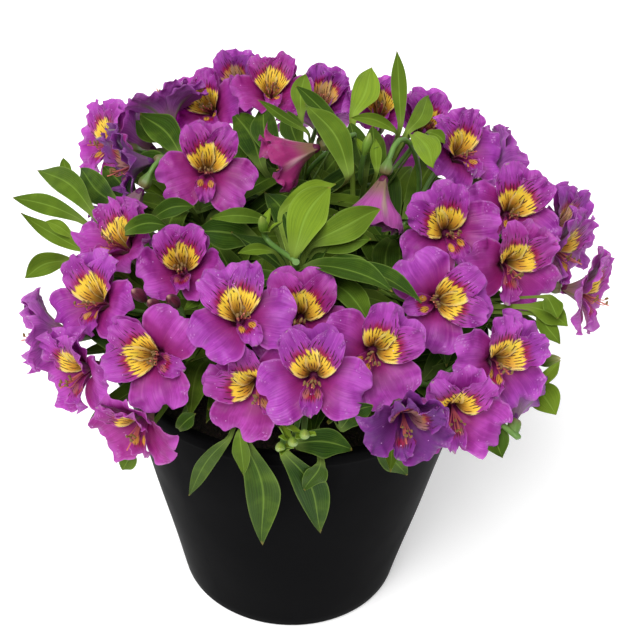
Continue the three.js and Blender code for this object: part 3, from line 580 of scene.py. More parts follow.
ShownLeaf = namedtuple("ShownLeaf", "foot tip half_width arch reach tone back nearer",
                       defaults=(0.5, 0, 0))
ROUND_POT = 100
# For each stem: how far its blooms are open, its buds as a pixel of the photograph and a ripeness, and its
# shown leaves. A leaf has its foot and tip in pixels of the photograph, half its width and its arch in
# millimetres, and how deep its two ends lie under the dome or, over ROUND_POT, how far out round the pot.
# Then may come its tone from dark green at 0 to light at 1, how far back all of it stands and how much
# nearer to the eye its tip is. The low tones of the front leaves and of those deep in the plant are partly
# painted shade.
STEMS = {
    "stem_front": ((1, 1, 1), [((281, 446), 0), ((293, 441), 0), ((304, 434), 0.1)], [
        ((243, 438), (262, 544), 9, 7, (119, 101), 0.22), ((281, 450), (321, 532), 8.5, 7, (119, 101), 0.02),
        ((239, 430), (244, 475), 4.5, 4, (126, 116), 0.3), ((292, 444), (352, 449), 8, 4, (118, 122), 0.08),
        ((322, 462), (304, 490), 6, 3, (118, 112), 0.1), ((338, 432), (373, 406), 6, 4, (28, 16), 0.08),
    ]),
    "stem_front_left": ((1, 1, 0.7), [], [
        ((232, 436), (189, 496), 4.5, 5, (120, 106), 0.15),
    ]),
    "stem_left_low": ((1, 0.85, 1), [((145, 300), 0.9), ((160, 310), 0.9), ((178, 306), 1)], [
        ((133, 450), (122, 471), 5, 2, (14, 4), 0.5, 24), ((176, 432), (195, 414), 4, 2, (22, 14), 0.1),
    ]),
    "stem_left": ((1, 0.85, 0.85), [], [
        ((95, 215), (38, 170), 7, 5, (14, -4), 0.3), ((86, 222), (13, 198), 5.5, 5, (26, -4), 0.45),
        ((86, 250), (21, 213), 4.5, -9, (20, -4), 0.4), ((74, 238), (46, 221), 3.5, 2, (24, 8)),
        ((72, 260), (25, 278), 6, 4, (20, -4), 0.4),
    ]),
    "stem_left_high": ((1, 0.9, 0.7), [], [
        ((70, 186), (63, 158), 3.5, 2, (18, 4)), ((148, 222), (194, 206), 5, 5, (26, 20), 0.15),
        ((120, 234), (168, 226), 5, 4, (18, 8), 0.2),
    ]),
    "stem_back_left": ((1, 1, 0.85, 0.8, 1, 0.85), [], []),
    "stem_back": ((0.85, 0.5, 0.6, 1, 1), [], [
        ((343, 130), (296, 86), 4.5, 4, (18, 4), 0.15), ((352, 183), (305, 103), 7.5, 6, (16, 4), 0.3),
        ((312, 135), (258, 100), 2.8, 4, (20, 8), 0.35), ((301, 117), (305, 74), 6, 3, (24, 6)),
        ((298, 82), (281, 65), 3, 2, (12, 2)),
    ]),
    "stem_crown": ((0.7, 0.6, 1), [((364, 155), 0)], [
        ((401, 131), (397, 51), 4.5, 3, (14, -4), 0.5, 0, 50), ((400, 134), (351, 118), 3.5, 5, (12, 6)),
        ((406, 134), (429, 95), 5.5, 3, (12, 2)), ((411, 131), (433, 168), 7, 4, (12, 4), 0.8),
        ((426, 131), (445, 143), 3.2, 2, (14, 6)), ((352, 116), (372, 67), 8, 2, (16, 2), 0.9),
        ((377, 174), (376, 139), 3.2, 2, (22, 12)),
    ]),
    "stem_back_right": ((0.5, 0.9, 0.8, 1), [], []),
    "stem_right": ((1, 1, 1, 1, 1), [], []),
    "stem_right_low": ((1, 1, 1), [], [
        ((546, 295), (558, 318), 5, 2, (10, 2)), ((528, 306), (568, 326), 6, 3, (22, 4), 0.4),
        ((536, 312), (560, 344), 4.5, 3, (20, 8), 0.35),
    ]),
    "stem_front_right": ((1, 1, 0.55, 0.7), [((540, 363), 0.5)], [
        ((480, 420), (503, 458), 7, 3, (18, 6), 0.3), ((530, 380), (556, 415), 8, 3, (26, 6), 0.6),
        ((540, 384), (560, 361), 3.5, -6, (12, 0), 0.85), ((376, 448), (407, 475), 6, 3, (120, 114), 0.15),
    ]),
    "stem_heart": ((), [((264, 233), 0)], [
        ((293, 257), (329, 187), 10, 7, (18, 4), 0.6), ((277, 215), (336, 184), 5, 10, (20, 8), 0.7),
        ((308, 246), (380, 209), 8, 6, (20, 6)), ((313, 250), (371, 239), 6, 4, (26, 16), 0.3),
        ((275, 224), (210, 219), 4, 9, (20, 12), 0.25), ((276, 252), (238, 253), 3, 3, (22, 16)),
        ((318, 264), (379, 290), 8, 5, (34, 24), 0.05), ((258, 240), (198, 232), 9, 6, (36, 26), 0.05),
    ]),
}
HEART_HEAD = (296, 262)
# Leaves deeper in the plant that close the gaps between its blooms. Their dark tones are partly painted
# shade.
INNER_ROOT = 0.75
INNER_LEAVES = {
    "stem_left_high": [
        ((182, 156), (140, 114), 9, 3, (32, 20), 0.15), ((118, 206), (80, 168), 8, 3, (30, 16), 0.1),
        ((134, 206), (104, 166), 8, 3, (36, 24), 0.0), ((174, 184), (134, 156), 8, 3, (36, 24), 0.1),
        ((164, 142), (136, 120), 7, 2, (34, 22), 0.15),
    ],
    "stem_left_low": [
        ((122, 356), (84, 304), 9, 3, (42, 28), 0.1), ((130, 372), (104, 350), 7, 2, (40, 28), 0.05),
    ],
    "stem_back": [
        ((262, 168), (232, 112), 9, 3, (40, 26), 0.05), ((278, 160), (262, 104), 8, 3, (36, 22), 0.1),
        ((300, 150), (287, 112), 7, 3, (34, 22), 0.2),
    ],
    "stem_crown": [
        ((366, 176), (350, 122), 7, 3, (34, 20), 0.2), ((384, 176), (372, 126), 6, 3, (34, 20), 0.3),
    ],
    "stem_right_low": [
        ((540, 330), (558, 300), 7, 3, (30, 16), 0.1),
    ],
}

# The six tepals of a bloom, as the solids have them: turn round the flower in degrees, then foot, elbow,
# tip and shut tip as radius and height, half width at the blade, and kind.
OUTER, UPPER_INNER, LOWER_INNER = 0, 1, 2
TEPALS = [
    (90, (0.9, -11), (6.5, 5), (25, 5), (6, 26), 15, OUTER),
    (204, (0.9, -11), (6.5, 5), (26.5, 3), (6, 26), 15.5, OUTER),
    (336, (0.9, -11), (6.5, 5), (26.5, 3), (6, 26), 15.5, OUTER),
    (59, (0.5, -9), (4.2, 8), (24.5, 9), (4, 25), 8.4, UPPER_INNER),
    (121, (0.5, -9), (4.2, 8), (24.5, 9), (4, 25), 8.4, UPPER_INNER),
    (270, (0.5, -9), (4.2, 8), (18, 6), (4, 25), 5.5, LOWER_INNER),
]
BLOOM_FOOT = -13
OVARY_LENGTH = 8
GAP = 0.3


def tepal_lines(number, open_share):
    """Each tepal of one bloom: its turn, its path as radius and height, and its half width."""
    draw = seeded(number)
    lines = []
    for turn, foot, elbow, tip, shut, blade, kind in TEPALS:
        angle = math.radians(turn + 8 * (draw() - 0.5))
        end = Vector(shut).lerp(Vector(tip), open_share)
        end.y += 3 * (draw() - 0.5)
        lines.append((angle, (Vector(foot), Vector(elbow), end), blade * (0.7 + 0.3 * open_share), kind))
    return lines


def bloom_corners(lines):
    """Corners of a bloom's solid in its own frame: the foot of its hub, its tips, two of each blade."""
    tips, edges = [], []
    for angle, path, blade, kind in lines:
        outwards = np.array([math.cos(angle), math.sin(angle), 0])
        across = np.array([-math.sin(angle), math.cos(angle), 0])
        tips.append(outwards * path[2].x + np.array([0, 0, path[2].y]))
        at, share = (0.8, 1) if kind == LOWER_INNER else (0.94, 0.78)
        point = bezier(path, at)[0]
        middle = outwards * point.x + np.array([0, 0, point.y])
        edges += [middle + across * blade * share, middle - across * blade * share]
    return np.array([[0, 0, BLOOM_FOOT], *tips, *edges])


def triad(a, b, c):
    """A turned frame through three points."""
    x = unit(b - a)
    z = unit(np.cross(x, c - a))
    return np.stack([x, np.cross(z, x), z], 1)


# How well distances and corners must fit, in millimetres, and how many corners must be found.
SPAN_FIT = 0.02
CORNER_FIT = 0.1
LEAST_CORNERS = 10


def bloom_place(node, number, open_share):
    """How the solid of a bloom is turned and where its throat is, from the corners it has."""
    made = bloom_corners(tepal_lines(number, open_share))
    found, finder = corners_of(node)
    apart = np.linalg.norm(found[:, None] - found[None], axis=-1)
    to_first, to_second, between = (np.linalg.norm(made[a] - made[b]) for a, b in ((1, 0), (2, 0), (1, 2)))
    best, most = None, 0
    for i, j in np.argwhere(np.abs(apart - to_first) < SPAN_FIT):
        fits = (np.abs(apart[i] - to_second) < SPAN_FIT) & (np.abs(apart[j] - between) < SPAN_FIT)
        for k in np.flatnonzero(fits):
            turn = triad(found[i], found[j], found[k]) @ triad(*made[:3]).T
            shift = found[i] - turn @ made[0]
            hits = sum(finder.find(point)[2] < CORNER_FIT for point in made @ turn.T + shift)
            if hits > most:
                best, most = (turn, shift), hits
    if most < LEAST_CORNERS:
        raise ValueError(f"{node} does not match its solid: {most} corners")
    return best


bloom_stands = []
for open_shares, buds, leaves in STEMS.values():
    for open_share in open_shares:
        number = len(bloom_stands) + 1
        place = bloom_place(f"bloom_{number:02d}", number, open_share)
        bloom_stands.append((number, open_share, *place))

STEM_RADIUS = 2.3
STEM_TAPER = 0.25
STEM_STEPS = 4
STEM_SHARES = np.linspace(0, 1, 29)
STEM_TURNS = [0, 12, -12, 24, -24, 36, -36]
STEM_HOLE_DEPTH = 18
ROOT_SHARE, ROOT_MOST = 0.4, 58
HEAD_BEHIND, HEAD_SHARE = 28, 0.97
THROAT_INSET = 20
PEDICEL_RADIUS = 1.4
# The ways in which parts of the solids may have been moved to clear their neighbours: stalks bent aside by
# a distance at an angle, leaves slid down their stem or shifted along the lines of sight to their ends.
BENDS = [(0, 0)] + [(by, angle) for by in (6, 12, 18, 24, 32) for angle in range(0, 360, 45)]
SLIDES = (0, -0.15, 0.08, -0.3)
SHIFTS = (0, 4, -4, 8, -8, 12, -12, 16, 20)
SHOWN_TOP, SHOWN_SPREAD = 0.89, 0.3
RULE_LEAVES = 12
RULE_START, RULE_STEP = 0.25, 0.06
RULE_LENGTH = 68
RULE_HALF_WIDTH = 8
TURNS = (0, 25, -25, 50, -50, 75, -75, 100, -100)
LIFTS = (0, 12, -12)
BUD_SHIFTS = (0, -4, 4, -8, 8, 12, 16)
GOLDEN_TURN = 137.5
TRUNK_SIDES = 10
TRUNK_AGE = 0.3
STALK_SIDES = 8
STALK_RINGS = 12
OVARY_SIDES = 24


def smooth_radii(stops, count):
    """More rows between a few stops of distance and radius, along a smooth line."""
    past, radius = np.array(stops, float).T
    at = np.linspace(past[0], past[-1], count)
    return list(zip(at.tolist(), eased(np.interp(at, past, radius), 3).tolist()))


BRACTS = 3
BRACT_HALF_WIDTH = 2.4
UNRIPE = 0.2
OVARY_RIBS, OVARY_RIB_DEPTH = 6, 0.07
BUD_RIBS, BUD_RIB_DEPTH = 3, 0.05
BUD_LENGTH = 13
BUD_BELLY, BUD_BELLY_RADIUS = 8, 3.6
OVARY_FORM = smooth_radii([(-0.6, 1.3), (1, 1.9), (4.8, 3.6), (7.2, 3.1), (8, 2.3)], 12)
BUD_FORM = smooth_radii([(-0.5, 1.2), (1.2, 1.9), (3, 2.7), (6, 3.1), (9, 2.7), (11.5, 1.4), (12.8, 0.5),
                         (13, 0.2)], 20)


def stem_path(top, heading, turn):
    bearing = math.atan2(top.y, top.x) + math.radians(turn)
    radius = min(ROOT_MOST, ROOT_SHARE * math.hypot(top.x, top.y))
    root = Vector((radius * math.cos(bearing), radius * math.sin(bearing), SOIL_LEVEL + SOIL_CROWN))
    reach = (top - root).length
    return root, root + 0.45 * reach * UP, top - 0.35 * reach * heading, top


def on_stem(path, share):
    """A point on the axis of a stem's solid, which is straight between its rows."""
    step = min(int(share * STEM_STEPS), STEM_STEPS - 1)
    low, high = bezier(path, step / STEM_STEPS)[0], bezier(path, (step + 1) / STEM_STEPS)[0]
    return low.lerp(high, share * STEM_STEPS - step)


def side_of(ahead):
    return ASIDE if abs(ahead.z) > 0.9 else UP


def stalk_path(start, heading, foot, ahead, bend):
    by, angle = bend
    span = foot - start
    reach = span.length
    aside = Matrix.Rotation(math.radians(angle), 3, span.normalized()) @ UP.cross(span).normalized() * by
    return start, start + 0.35 * reach * heading + aside, foot - 0.45 * reach * ahead + aside, foot


def stalk_corners(path, ahead):
    rows = [ring(*bezier(path, at), side_of(ahead), PEDICEL_RADIUS, 3) for at in (0.15, 0.45, 0.75)]
    return sum(rows, [])


def grow_stalk(growth, path, ahead, ending, ribs, rib_depth, kind, age):
    """A stalk along its path and what it ends in, as distances past its end and radii."""
    side = side_of(ahead)
    steps = np.linspace(0, 1, STALK_RINGS)
    rings = [ring(*bezier(path, t), side, PEDICEL_RADIUS, STALK_SIDES) for t in steps]
    tube(growth, rings, STALK, age, STEM_FINISH)
    wavy = 1 + rib_depth * np.cos(ribs * np.linspace(0, 2 * math.pi, OVARY_SIDES, endpoint=False))
    rings = []
    for past, radius in ending:
        middle = path[3] + past * ahead
        rings.append([middle + (point - middle) * w
                      for point, w in zip(ring(middle, ahead, side, radius, OVARY_SIDES), wavy)])
    tube(growth, rings, kind, age, STEM_FINISH, draw=age)


def shown_leaf_path(leaf, near=0, far=0):
    place = on_cylinder if leaf.reach[0] > ROUND_POT else on_dome
    foot = place(leaf.foot, leaf.reach[0]) + near * sight(leaf.foot)
    tip = place(leaf.tip, leaf.reach[1]) + (far - leaf.nearer) * sight(leaf.tip)
    raised = (EYE_BACK + Vector((0, 0, 0.6))).normalized()
    return foot, foot.lerp(tip, 0.5) + 2 * leaf.arch * raised, tip


def outward(start, bearing, push):
    """A level direction turned out from the middle of the plant by a share of push."""
    away = Vector((start.x, start.y, 0)).normalized()
    return (Vector((math.cos(bearing), math.sin(bearing), 0)) + push * away).normalized()


def rule_leaf_path(path, number, index, draw, turn, lift):
    start = on_stem(path, RULE_START + RULE_STEP * index)
    out = outward(start, math.radians(GOLDEN_TURN * (index + number) + turn), 0.8)
    length = RULE_LENGTH * (0.85 + 0.3 * draw)
    bend = start + 0.5 * length * out + (0.34 * length + lift) * UP
    return start, bend, start + 0.93 * length * out + (0.12 * length + lift) * UP


def stored(tree, name):
    """Three values that a grown surface has at each point."""
    return Tone(wire(tree, "Attribute", attribute_name=name), "Vector")


# What every grown surface knows: where it is across and along its organ, which side it is, and how old, a
# mark that on blooms and leaves also carries painted shade.
MARKS = ("Across", "Along", "Draw", "Kind", "Upper", "Age", "Streaks")
made = dict.fromkeys(MARKS, "Float")
grown_marks, given, taken = new_group("grown_marks", {"Fineness": "Vector"}, made)
place, tint = (stored(grown_marks, name) for name in ("place", "tint"))
values = [Tone(wire(grown_marks, "SeparateXYZ", {0: mark}), k) for mark in (place, tint) for k in range(3)]
values.append(speckle(grown_marks, 1, 3, given["Fineness"], place))
join(taken, dict(zip(MARKS, values)))


def marks_on(tree, fineness, titles):
    made = wire(tree, "Group", {"Fineness": fineness}, node_tree=grown_marks)
    return [Tone(made, title) for title in titles]


LEAF_VEINS = 22.0
STEM_RIBS = 18.85
leaf_green, tree, shader = new_finish("leaf_green", 0.42, Specular_IOR_Level=0.035)
titles = ("Across", "Along", "Upper", "Age", "Streaks")
across, along, upper, age, streaks = marks_on(tree, (16, 1.2, 31), titles)
veins = abs((across * LEAF_VEINS).worked("SINE"))
middle = abs(across)
# Age takes a leaf from dark to light green; on the shown and inner leaves this tone is partly painted shade.
shade = painted(
    "213810", (age.rise(0, 1), "809A2A"), (streaks.rise(0.35, 0.75, 0, 0.4), "3C5E1C"),
    (speckle(tree, 55, 3).rise(0.45, 0.8, 0, 0.25), "86A632"), (veins.rise(0.0, 0.3, 0.11, 0), "88AC3C"),
    (middle.rise(0.02, 0.1, 0.27, 0), "92B34A"), (along.rise(0.0, 0.3, 0.3, 0), "9DB35C"),
    (middle.rise(0.88, 1.0, 0, 0.3), "93AF52"), (along.rise(0.965, 1.0, 0, 0.7), "8F7A3C"),
    (upper.rise(0.4, 0.6, 0.5, 0), "6E8C50"))
dress(shader, shade, veins * 0.4 + streaks, 0.0003, 0.6, upper.rise(0.4, 0.6, 0.6, 0.38))

stem_green, tree, shader = new_finish("stem_green", 0.5)
titles = ("Across", "Along", "Kind", "Age", "Streaks")
around, along, kind, ripe, streaks = marks_on(tree, (9, 2, 31), titles)
mottle = speckle(tree, 160, 3)
ribs = abs((around * STEM_RIBS).worked("SINE"))
ripe_shade = painted("430C22", (streaks.rise(0.35, 0.65), "641A32"), (ribs.rise(0.0, 0.5, 0.6, 0), "2B0714"),
                     (along.rise(0.86, 1.0, 0, 0.7), "B98A7C"))
bud_shade = painted("6F9430", (along.rise(0.55, 1.0, 0, 0.4), "A9A84E"),
                    (ribs.rise(0.0, 0.4, 0.5, 0), "4E6A2A"), (ripe.rise(0.2, 0.9), ripe_shade))
is_ovary = kind.rise(3.4, 3.6) * kind.rise(4.4, 4.6, 1, 0)
shade = painted("3F6624", (mottle, "6E9440"), (ribs.rise(0.0, 0.5, 0.4, 0), "3C5A22"),
                (kind.rise(4.4, 4.6), bud_shade), (is_ovary * along.rise(0.3, 1.0, 0.1, 0.7), "6E4A3A"))
dress(shader, shade, mottle, 0.0003)

# Smaller leaves stand close under the blooms and stay inside the dome.
UPPER_LEAVES = 14
UPPER_START, UPPER_SPREAD = 0.5, 0.48
UPPER_STEPS = 13
UPPER_LENGTH = 46
UPPER_LEAST = 22
UPPER_HALF_WIDTH = 8
UPPER_INSET = 22


def inside_dome(point, inset):
    x, y, z = point - DOME_CENTRE
    return (x * x + y * y) / (DOME_RADIUS - inset) ** 2 + (z / (DOME_HALF_HEIGHT - inset)) ** 2 < 1


def grow_upper_leaf(growth, path, index, number, chance):
    start = on_stem(path, UPPER_START + UPPER_SPREAD * index / UPPER_LEAVES)
    out = outward(start, math.radians(GOLDEN_TURN * index + 40 * number), 0.35)
    out = (out + chance.uniform(-0.25, 0.75) * UP).normalized()
    length = UPPER_LENGTH * chance.uniform(0.8, 1.2)
    while length > UPPER_LEAST and not inside_dome(start + length * out, UPPER_INSET):
        length -= 3
    if length > UPPER_LEAST:
        bend = start + 0.5 * length * out + 0.2 * length * UP
        line = (start, bend, start + length * out)
        grow_leaf(growth, start, line, UPPER_HALF_WIDTH, UP, RULE_PROFILE, chance,
                  chance.uniform(0.0, 0.45), UPPER_STEPS)


def grow_bud(growth, finder, start, heading, pixel, ripe, chance):
    """A bud on its stalk, with bracts round it while it is unripe."""
    def bud_foot(back):
        foot = on_dome(pixel, THROAT_INSET) + back * sight(pixel)
        return foot, ((foot - PLANT_HEART).normalized() + 0.3 * UP).normalized()

    def bud_corners(way):
        foot, ahead = bud_foot(way[0])
        belly = ring(foot + BUD_BELLY * ahead, ahead, side_of(ahead), BUD_BELLY_RADIUS, 3)
        path = stalk_path(start, heading, foot, ahead, way[1])
        return stalk_corners(path, ahead) + belly + [foot + BUD_LENGTH * ahead]

    ways = [(back, bend) for back in BUD_SHIFTS for bend in BENDS]
    back, bend = nearest_way(finder, ways, bud_corners)
    foot, ahead = bud_foot(back)
    form = [(past, radius * (0.8 if ripe < UNRIPE else 1)) for past, radius in BUD_FORM]
    stalk = stalk_path(start, heading, foot, ahead, bend)
    grow_stalk(growth, stalk, ahead, form, BUD_RIBS, BUD_RIB_DEPTH, BUD, ripe)
    for turn in range(BRACTS if ripe < UNRIPE else 0):
        out = facing(120 * turn + 360 * chance.random(), 15)
        tip = foot + chance.uniform(8, 13) * (out + 0.7 * ahead).normalized()
        grow_leaf(growth, foot, (foot, foot.lerp(tip, 0.5) + 2 * UP, tip), BRACT_HALF_WIDTH, UP, RULE_PROFILE,
                  chance, 0.8, 8)


def grow_shown_leaf(growth, finder, path, base, leaf, chance):
    """A leaf that the photograph shows, moved and rooted as its solid is."""
    face = facing(0, 10).lerp(EYE_BACK, 0.5) if leaf.reach[0] > ROUND_POT else EYE_BACK

    def leaf_corners(way):
        line = shown_leaf_path(leaf, *way)
        sideways = face.cross(line[2] - line[0]).normalized()
        edges = [bezier(line, at)[0] + sign * width * leaf.half_width * sideways
                 for at, width in ((0.26, 0.68), (0.55, 1), (0.83, 0.55)) for sign in (1, -1)]
        return edges + [line[2]]

    way = nearest_way(finder, [(near, far) for near in SHIFTS for far in SHIFTS], leaf_corners)
    if way is None:
        return
    line = [point + leaf.back * sight(leaf.foot) for point in shown_leaf_path(leaf, *way)]
    foot = line[0]
    sideways = face.cross(line[2] - foot).normalized()

    def root_corners(slide):
        root = on_stem(path, base + slide)
        ahead = (foot - root).normalized() + bezier(line, 0)[1]
        return [root, foot - 1.2 * ahead.cross(sideways).normalized()]

    root = on_stem(path, base + (nearest_way(finder, SLIDES, root_corners) or 0))
    grow_leaf(growth, root, line, leaf.half_width, face, LEAF_PROFILE, chance,
              leaf.tone + chance.uniform(-0.1, 0.1), bow=leaf.back)


def grow_stem(name, number, stands, buds, leaves):
    chance = np.random.default_rng(number)
    growth = Growth()
    finder = corners_of(name)[1]
    feet = [(Vector(throat) + Vector(turn[:, 2]) * (BLOOM_FOOT - GAP - OVARY_LENGTH), Vector(turn[:, 2]))
            for _, _, turn, throat in stands]
    middle = on_dome(HEART_HEAD, THROAT_INSET)
    if feet:
        middle = sum((foot for foot, _ in feet), Vector()) / len(feet)
    heading = (middle - PLANT_HEART).normalized()
    top = middle - HEAD_BEHIND * heading if feet else middle

    def trunk_corners(turn):
        line = stem_path(top, heading, turn)
        rows = [ring(*bezier(line, k / STEM_STEPS), ASIDE, STEM_RADIUS * (1 - STEM_TAPER * k / STEM_STEPS), 4)
                for k in range(STEM_STEPS + 1)]
        return sum(rows, [])

    path = stem_path(top, heading, nearest_way(finder, STEM_TURNS, trunk_corners))
    line = eased([path[0] - STEM_HOLE_DEPTH * UP] + [on_stem(path, share) for share in STEM_SHARES])
    ahead = unit(np.gradient(line, axis=0))
    radii = [STEM_RADIUS * (1 - STEM_TAPER * share) * (1 + 0.05 * math.sin(40 * share))
             for share in (0, *STEM_SHARES)]
    tube(growth, [ring(Vector(p), Vector(a), ASIDE, r, TRUNK_SIDES)
                  for p, a, r in zip(line.tolist(), ahead.tolist(), radii)], STALK, TRUNK_AGE, STEM_FINISH)
    start = on_stem(path, HEAD_SHARE)
    for foot, way in feet:
        paths = [stalk_path(start, heading, foot, way, bend) for bend in BENDS]
        stalk = nearest_way(finder, paths, lambda line: stalk_corners(line, way)) or paths[0]
        grow_stalk(growth, stalk, way, OVARY_FORM, OVARY_RIBS, OVARY_RIB_DEPTH, OVARY, chance.random())
    for pixel, ripe in buds:
        grow_bud(growth, finder, start, heading, pixel, ripe, chance)
    for index, row in enumerate(leaves):
        share = SHOWN_TOP - SHOWN_SPREAD * index / len(leaves)
        grow_shown_leaf(growth, finder, path, share, ShownLeaf(*row), chance)
    draw = seeded(100 + number)
    ways = [(turn, lift) for turn in TURNS for lift in LIFTS]
    for index in range(RULE_LEAVES):
        length = draw()
        lines = [rule_leaf_path(path, number, index, length, *way) for way in ways]
        line = nearest_way(finder, lines, lambda line: line[2:])
        if line:
            grow_leaf(growth, line[0], line, RULE_HALF_WIDTH, UP, RULE_PROFILE, chance,
                      chance.uniform(0.0, 0.4), SMALL_LEAF_STEPS)
    for leaf in [ShownLeaf(*row) for row in INNER_LEAVES.get(name, [])]:
        grow_leaf(growth, on_stem(path, INNER_ROOT), shown_leaf_path(leaf), leaf.half_width, EYE_BACK,
                  LEAF_PROFILE, chance, leaf.tone, SMALL_LEAF_STEPS)
    for index in range(UPPER_LEAVES):
        grow_upper_leaf(growth, path, index, number, chance)
    growth.piece("leafy_" + name, [leaf_green, stem_green], "leaf", name)


first = 0
for number, (name, (open_shares, buds, leaves)) in enumerate(STEMS.items()):
    grow_stem(name, number, bloom_stands[first:first + len(open_shares)], buds, leaves)
    first += len(open_shares)

# Blooms.
# Each open bloom has three broad magenta outer tepals, two upper inner ones with a yellow blotch and dark
# dashes, and a small lower one. Six curved stamens stand in its throat, and rain has left drops on it.
TEPAL_COLUMNS = 19
BODY_ROWS = 15
CAP_ROWS = 9
TEPAL_THICKNESS = 0.5
# How wide a tepal is, as shares of its half width, at shares of its length up to its rounded end.
WIDENING = (0, 0.2, 0.42, 0.64, 0.85, 1)
WIDTHS = ((0.12, 0.2, 0.42, 0.7, 0.95, 1), (0.16, 0.28, 0.55, 0.8, 0.97, 1), (0.2, 0.32, 0.5, 0.72, 0.95, 1))
# One value for each kind of tepal: where its end starts, how square that is, how deep its notch and how long
# its point are as shares of its length, and how deep and wide the groove down its middle is.
END_START = (0.66, 0.62, 0.66)
END_POWER = (2.5, 2.1, 2.2)
NOTCH = (0.1, 0.03, 0.0)
POINT = (0.024, 0.008, 0.02)
GROOVE = (0.9, 1.3, 1.4)
GROOVE_WIDTH = (1.1, 2.0, 1.0)
# Waves round the margin, each as how often it turns and how high it is.
MARGIN_WAVES = ((3, 0.04), (6, 0.022), (10, 0.013), (15, 0.009))
OUTER_RUFFLES = ((4, 0.95), (8, 0.85), (14, 0.4))
INNER_RUFFLES = ((5, 0.8), (9, 0.8), (15, 0.45))
RIM_START = 0.66
STAMEN_KIND, ANTHER_KIND, HUB_KIND, DROP_KIND = 6, 7, 8, 9
PETAL, BLOTCHED, THREAD, POLLEN, WATER = range(5)


def tepal_grid(blade, kind):
    """Where the points of a flat tepal lie: across in millimetres and along from 0 to 1. Its end is
    a half disc, so that the rows follow its rounded edge."""
    u = np.linspace(-1, 1, TEPAL_COLUMNS)[None, :]
    start = END_START[kind]
    t = np.linspace(0, start, BODY_ROWS)
    width = blade * eased(np.interp(t / start, WIDENING, WIDTHS[kind]))[:, None]
    body_x, body_t = u * width, t[:, None] * np.ones_like(u)
    q = np.linspace(0, 1, CAP_ROWS)[1:, None]
    x, y = u * np.sqrt(1 - q * q / 2), q * np.sqrt(1 - u * u / 2)
    angle = np.arctan2(y, x)
    power = END_POWER[kind]
    swell = (np.abs(np.cos(angle)) ** power + np.abs(np.sin(angle)) ** power) ** (-1 / power)
    x = np.concatenate([body_x, x * swell * blade])
    t = np.concatenate([body_t, start + y * swell * (1 - start)])
    return x, t, np.broadcast_to(u, x.shape)


def grow_tepal(growth, line, open_share, crimp, chance, age):
    """One tepal: a claw that opens into a broad blade with a ruffled margin and soft creases."""
    angle, path, blade, kind = line
    x, t, u = tepal_grid(blade, kind)
    spread = np.clip((t - 0.38) / 0.5, 0, 1)
    end = np.clip((t - 0.78) / 0.22, 0, 1)
    around = np.arctan2(x / blade, (t - RIM_START) / (1 - RIM_START))

    def waves(sizes):
        return sum(size * np.sin(k * around + chance.uniform(0, 6.3)) for k, size in sizes)

    notch = NOTCH[kind] * chance.uniform(0.5, 1.3) * np.exp(-(x / (0.17 * blade)) ** 2)
    point = POINT[kind] * np.exp(-(x / 0.8) ** 2)
    margin = waves(MARGIN_WAVES) * spread
    x = x * (1 + margin) + chance.uniform(-1.4, 1.4) * t ** 2
    t = t + margin * np.clip(t - RIM_START, 0, 1) - notch * end + point * end ** 6
    ruffle = crimp * waves(OUTER_RUFFLES if kind == OUTER else INNER_RUFFLES)
    rim = np.clip(np.hypot(x / blade, np.clip(t - RIM_START, 0, 1) / (1 - RIM_START)), 0, 1.1)
    cup = (chance.uniform(0.2, 2.6), chance.uniform(0.4, 1.8), 2.0)[kind] + (1 - open_share) * 7
    crease = (0.6 * np.sin(0.5 * x + chance.uniform(0, 6) + 1.5 * np.sin(5 * t + chance.uniform(0, 6)))
              + 0.32 * np.sin(1.3 * x + chance.uniform(0, 6) + 2 * np.sin(4 * t)))
    lift = (cup * (u ** 2 * (x / blade) ** 2 - 0.4) * np.clip(t * 1.6, 0, 1)
            + ruffle * rim ** 2.6 * spread
            + crease * spread
            - GROOVE[kind] * np.exp(-(x / GROOVE_WIDTH[kind]) ** 2) * np.clip(1.15 - t, 0, 1)
            + chance.uniform(-3, 1.2) * end ** 2)
    foot, elbow, tip = (np.array(p) for p in path)
    share = t[..., None]
    point = (1 - share) ** 2 * foot + 2 * share * (1 - share) * elbow + share ** 2 * tip
    lift = lift + x ** 2 / (2 * np.maximum(point[..., 0], 4.5)) * np.clip(1.5 - 2.6 * t, 0, 1)
    slope = unit(2 * (1 - share) * (elbow - foot) + 2 * share * (tip - elbow))
    radius = point[..., 0] - slope[..., 1] * lift
    height = point[..., 1] + slope[..., 0] * lift
    outwards = np.array([math.cos(angle), math.sin(angle), 0])
    sideways = np.array([-math.sin(angle), math.cos(angle), 0])
    upwards = np.array([0, 0, 1])
    upper = radius[..., None] * outwards + x[..., None] * sideways + height[..., None] * upwards
    thick = TEPAL_THICKNESS * (1 - EDGE_THINNING * np.abs(u) ** 2) * np.clip(1.4 - t, 0.3, 1)
    lower = upper - thick[..., None] * (-slope[..., 1:2] * outwards + slope[..., 0:1] * upwards)
    midline = -1 if angle < math.pi / 2 else 1
    place = np.stack(np.broadcast_arrays(-u * midline, np.clip(t, 0, 1), chance.random()), -1)
    # The columns run against the turn, so both grids are turned over to face out.
    surface = upper[:, ::-1]
    plate(growth, surface, lower[:, ::-1], place[:, ::-1], kind, age, PETAL if kind == OUTER else BLOTCHED)
    return surface


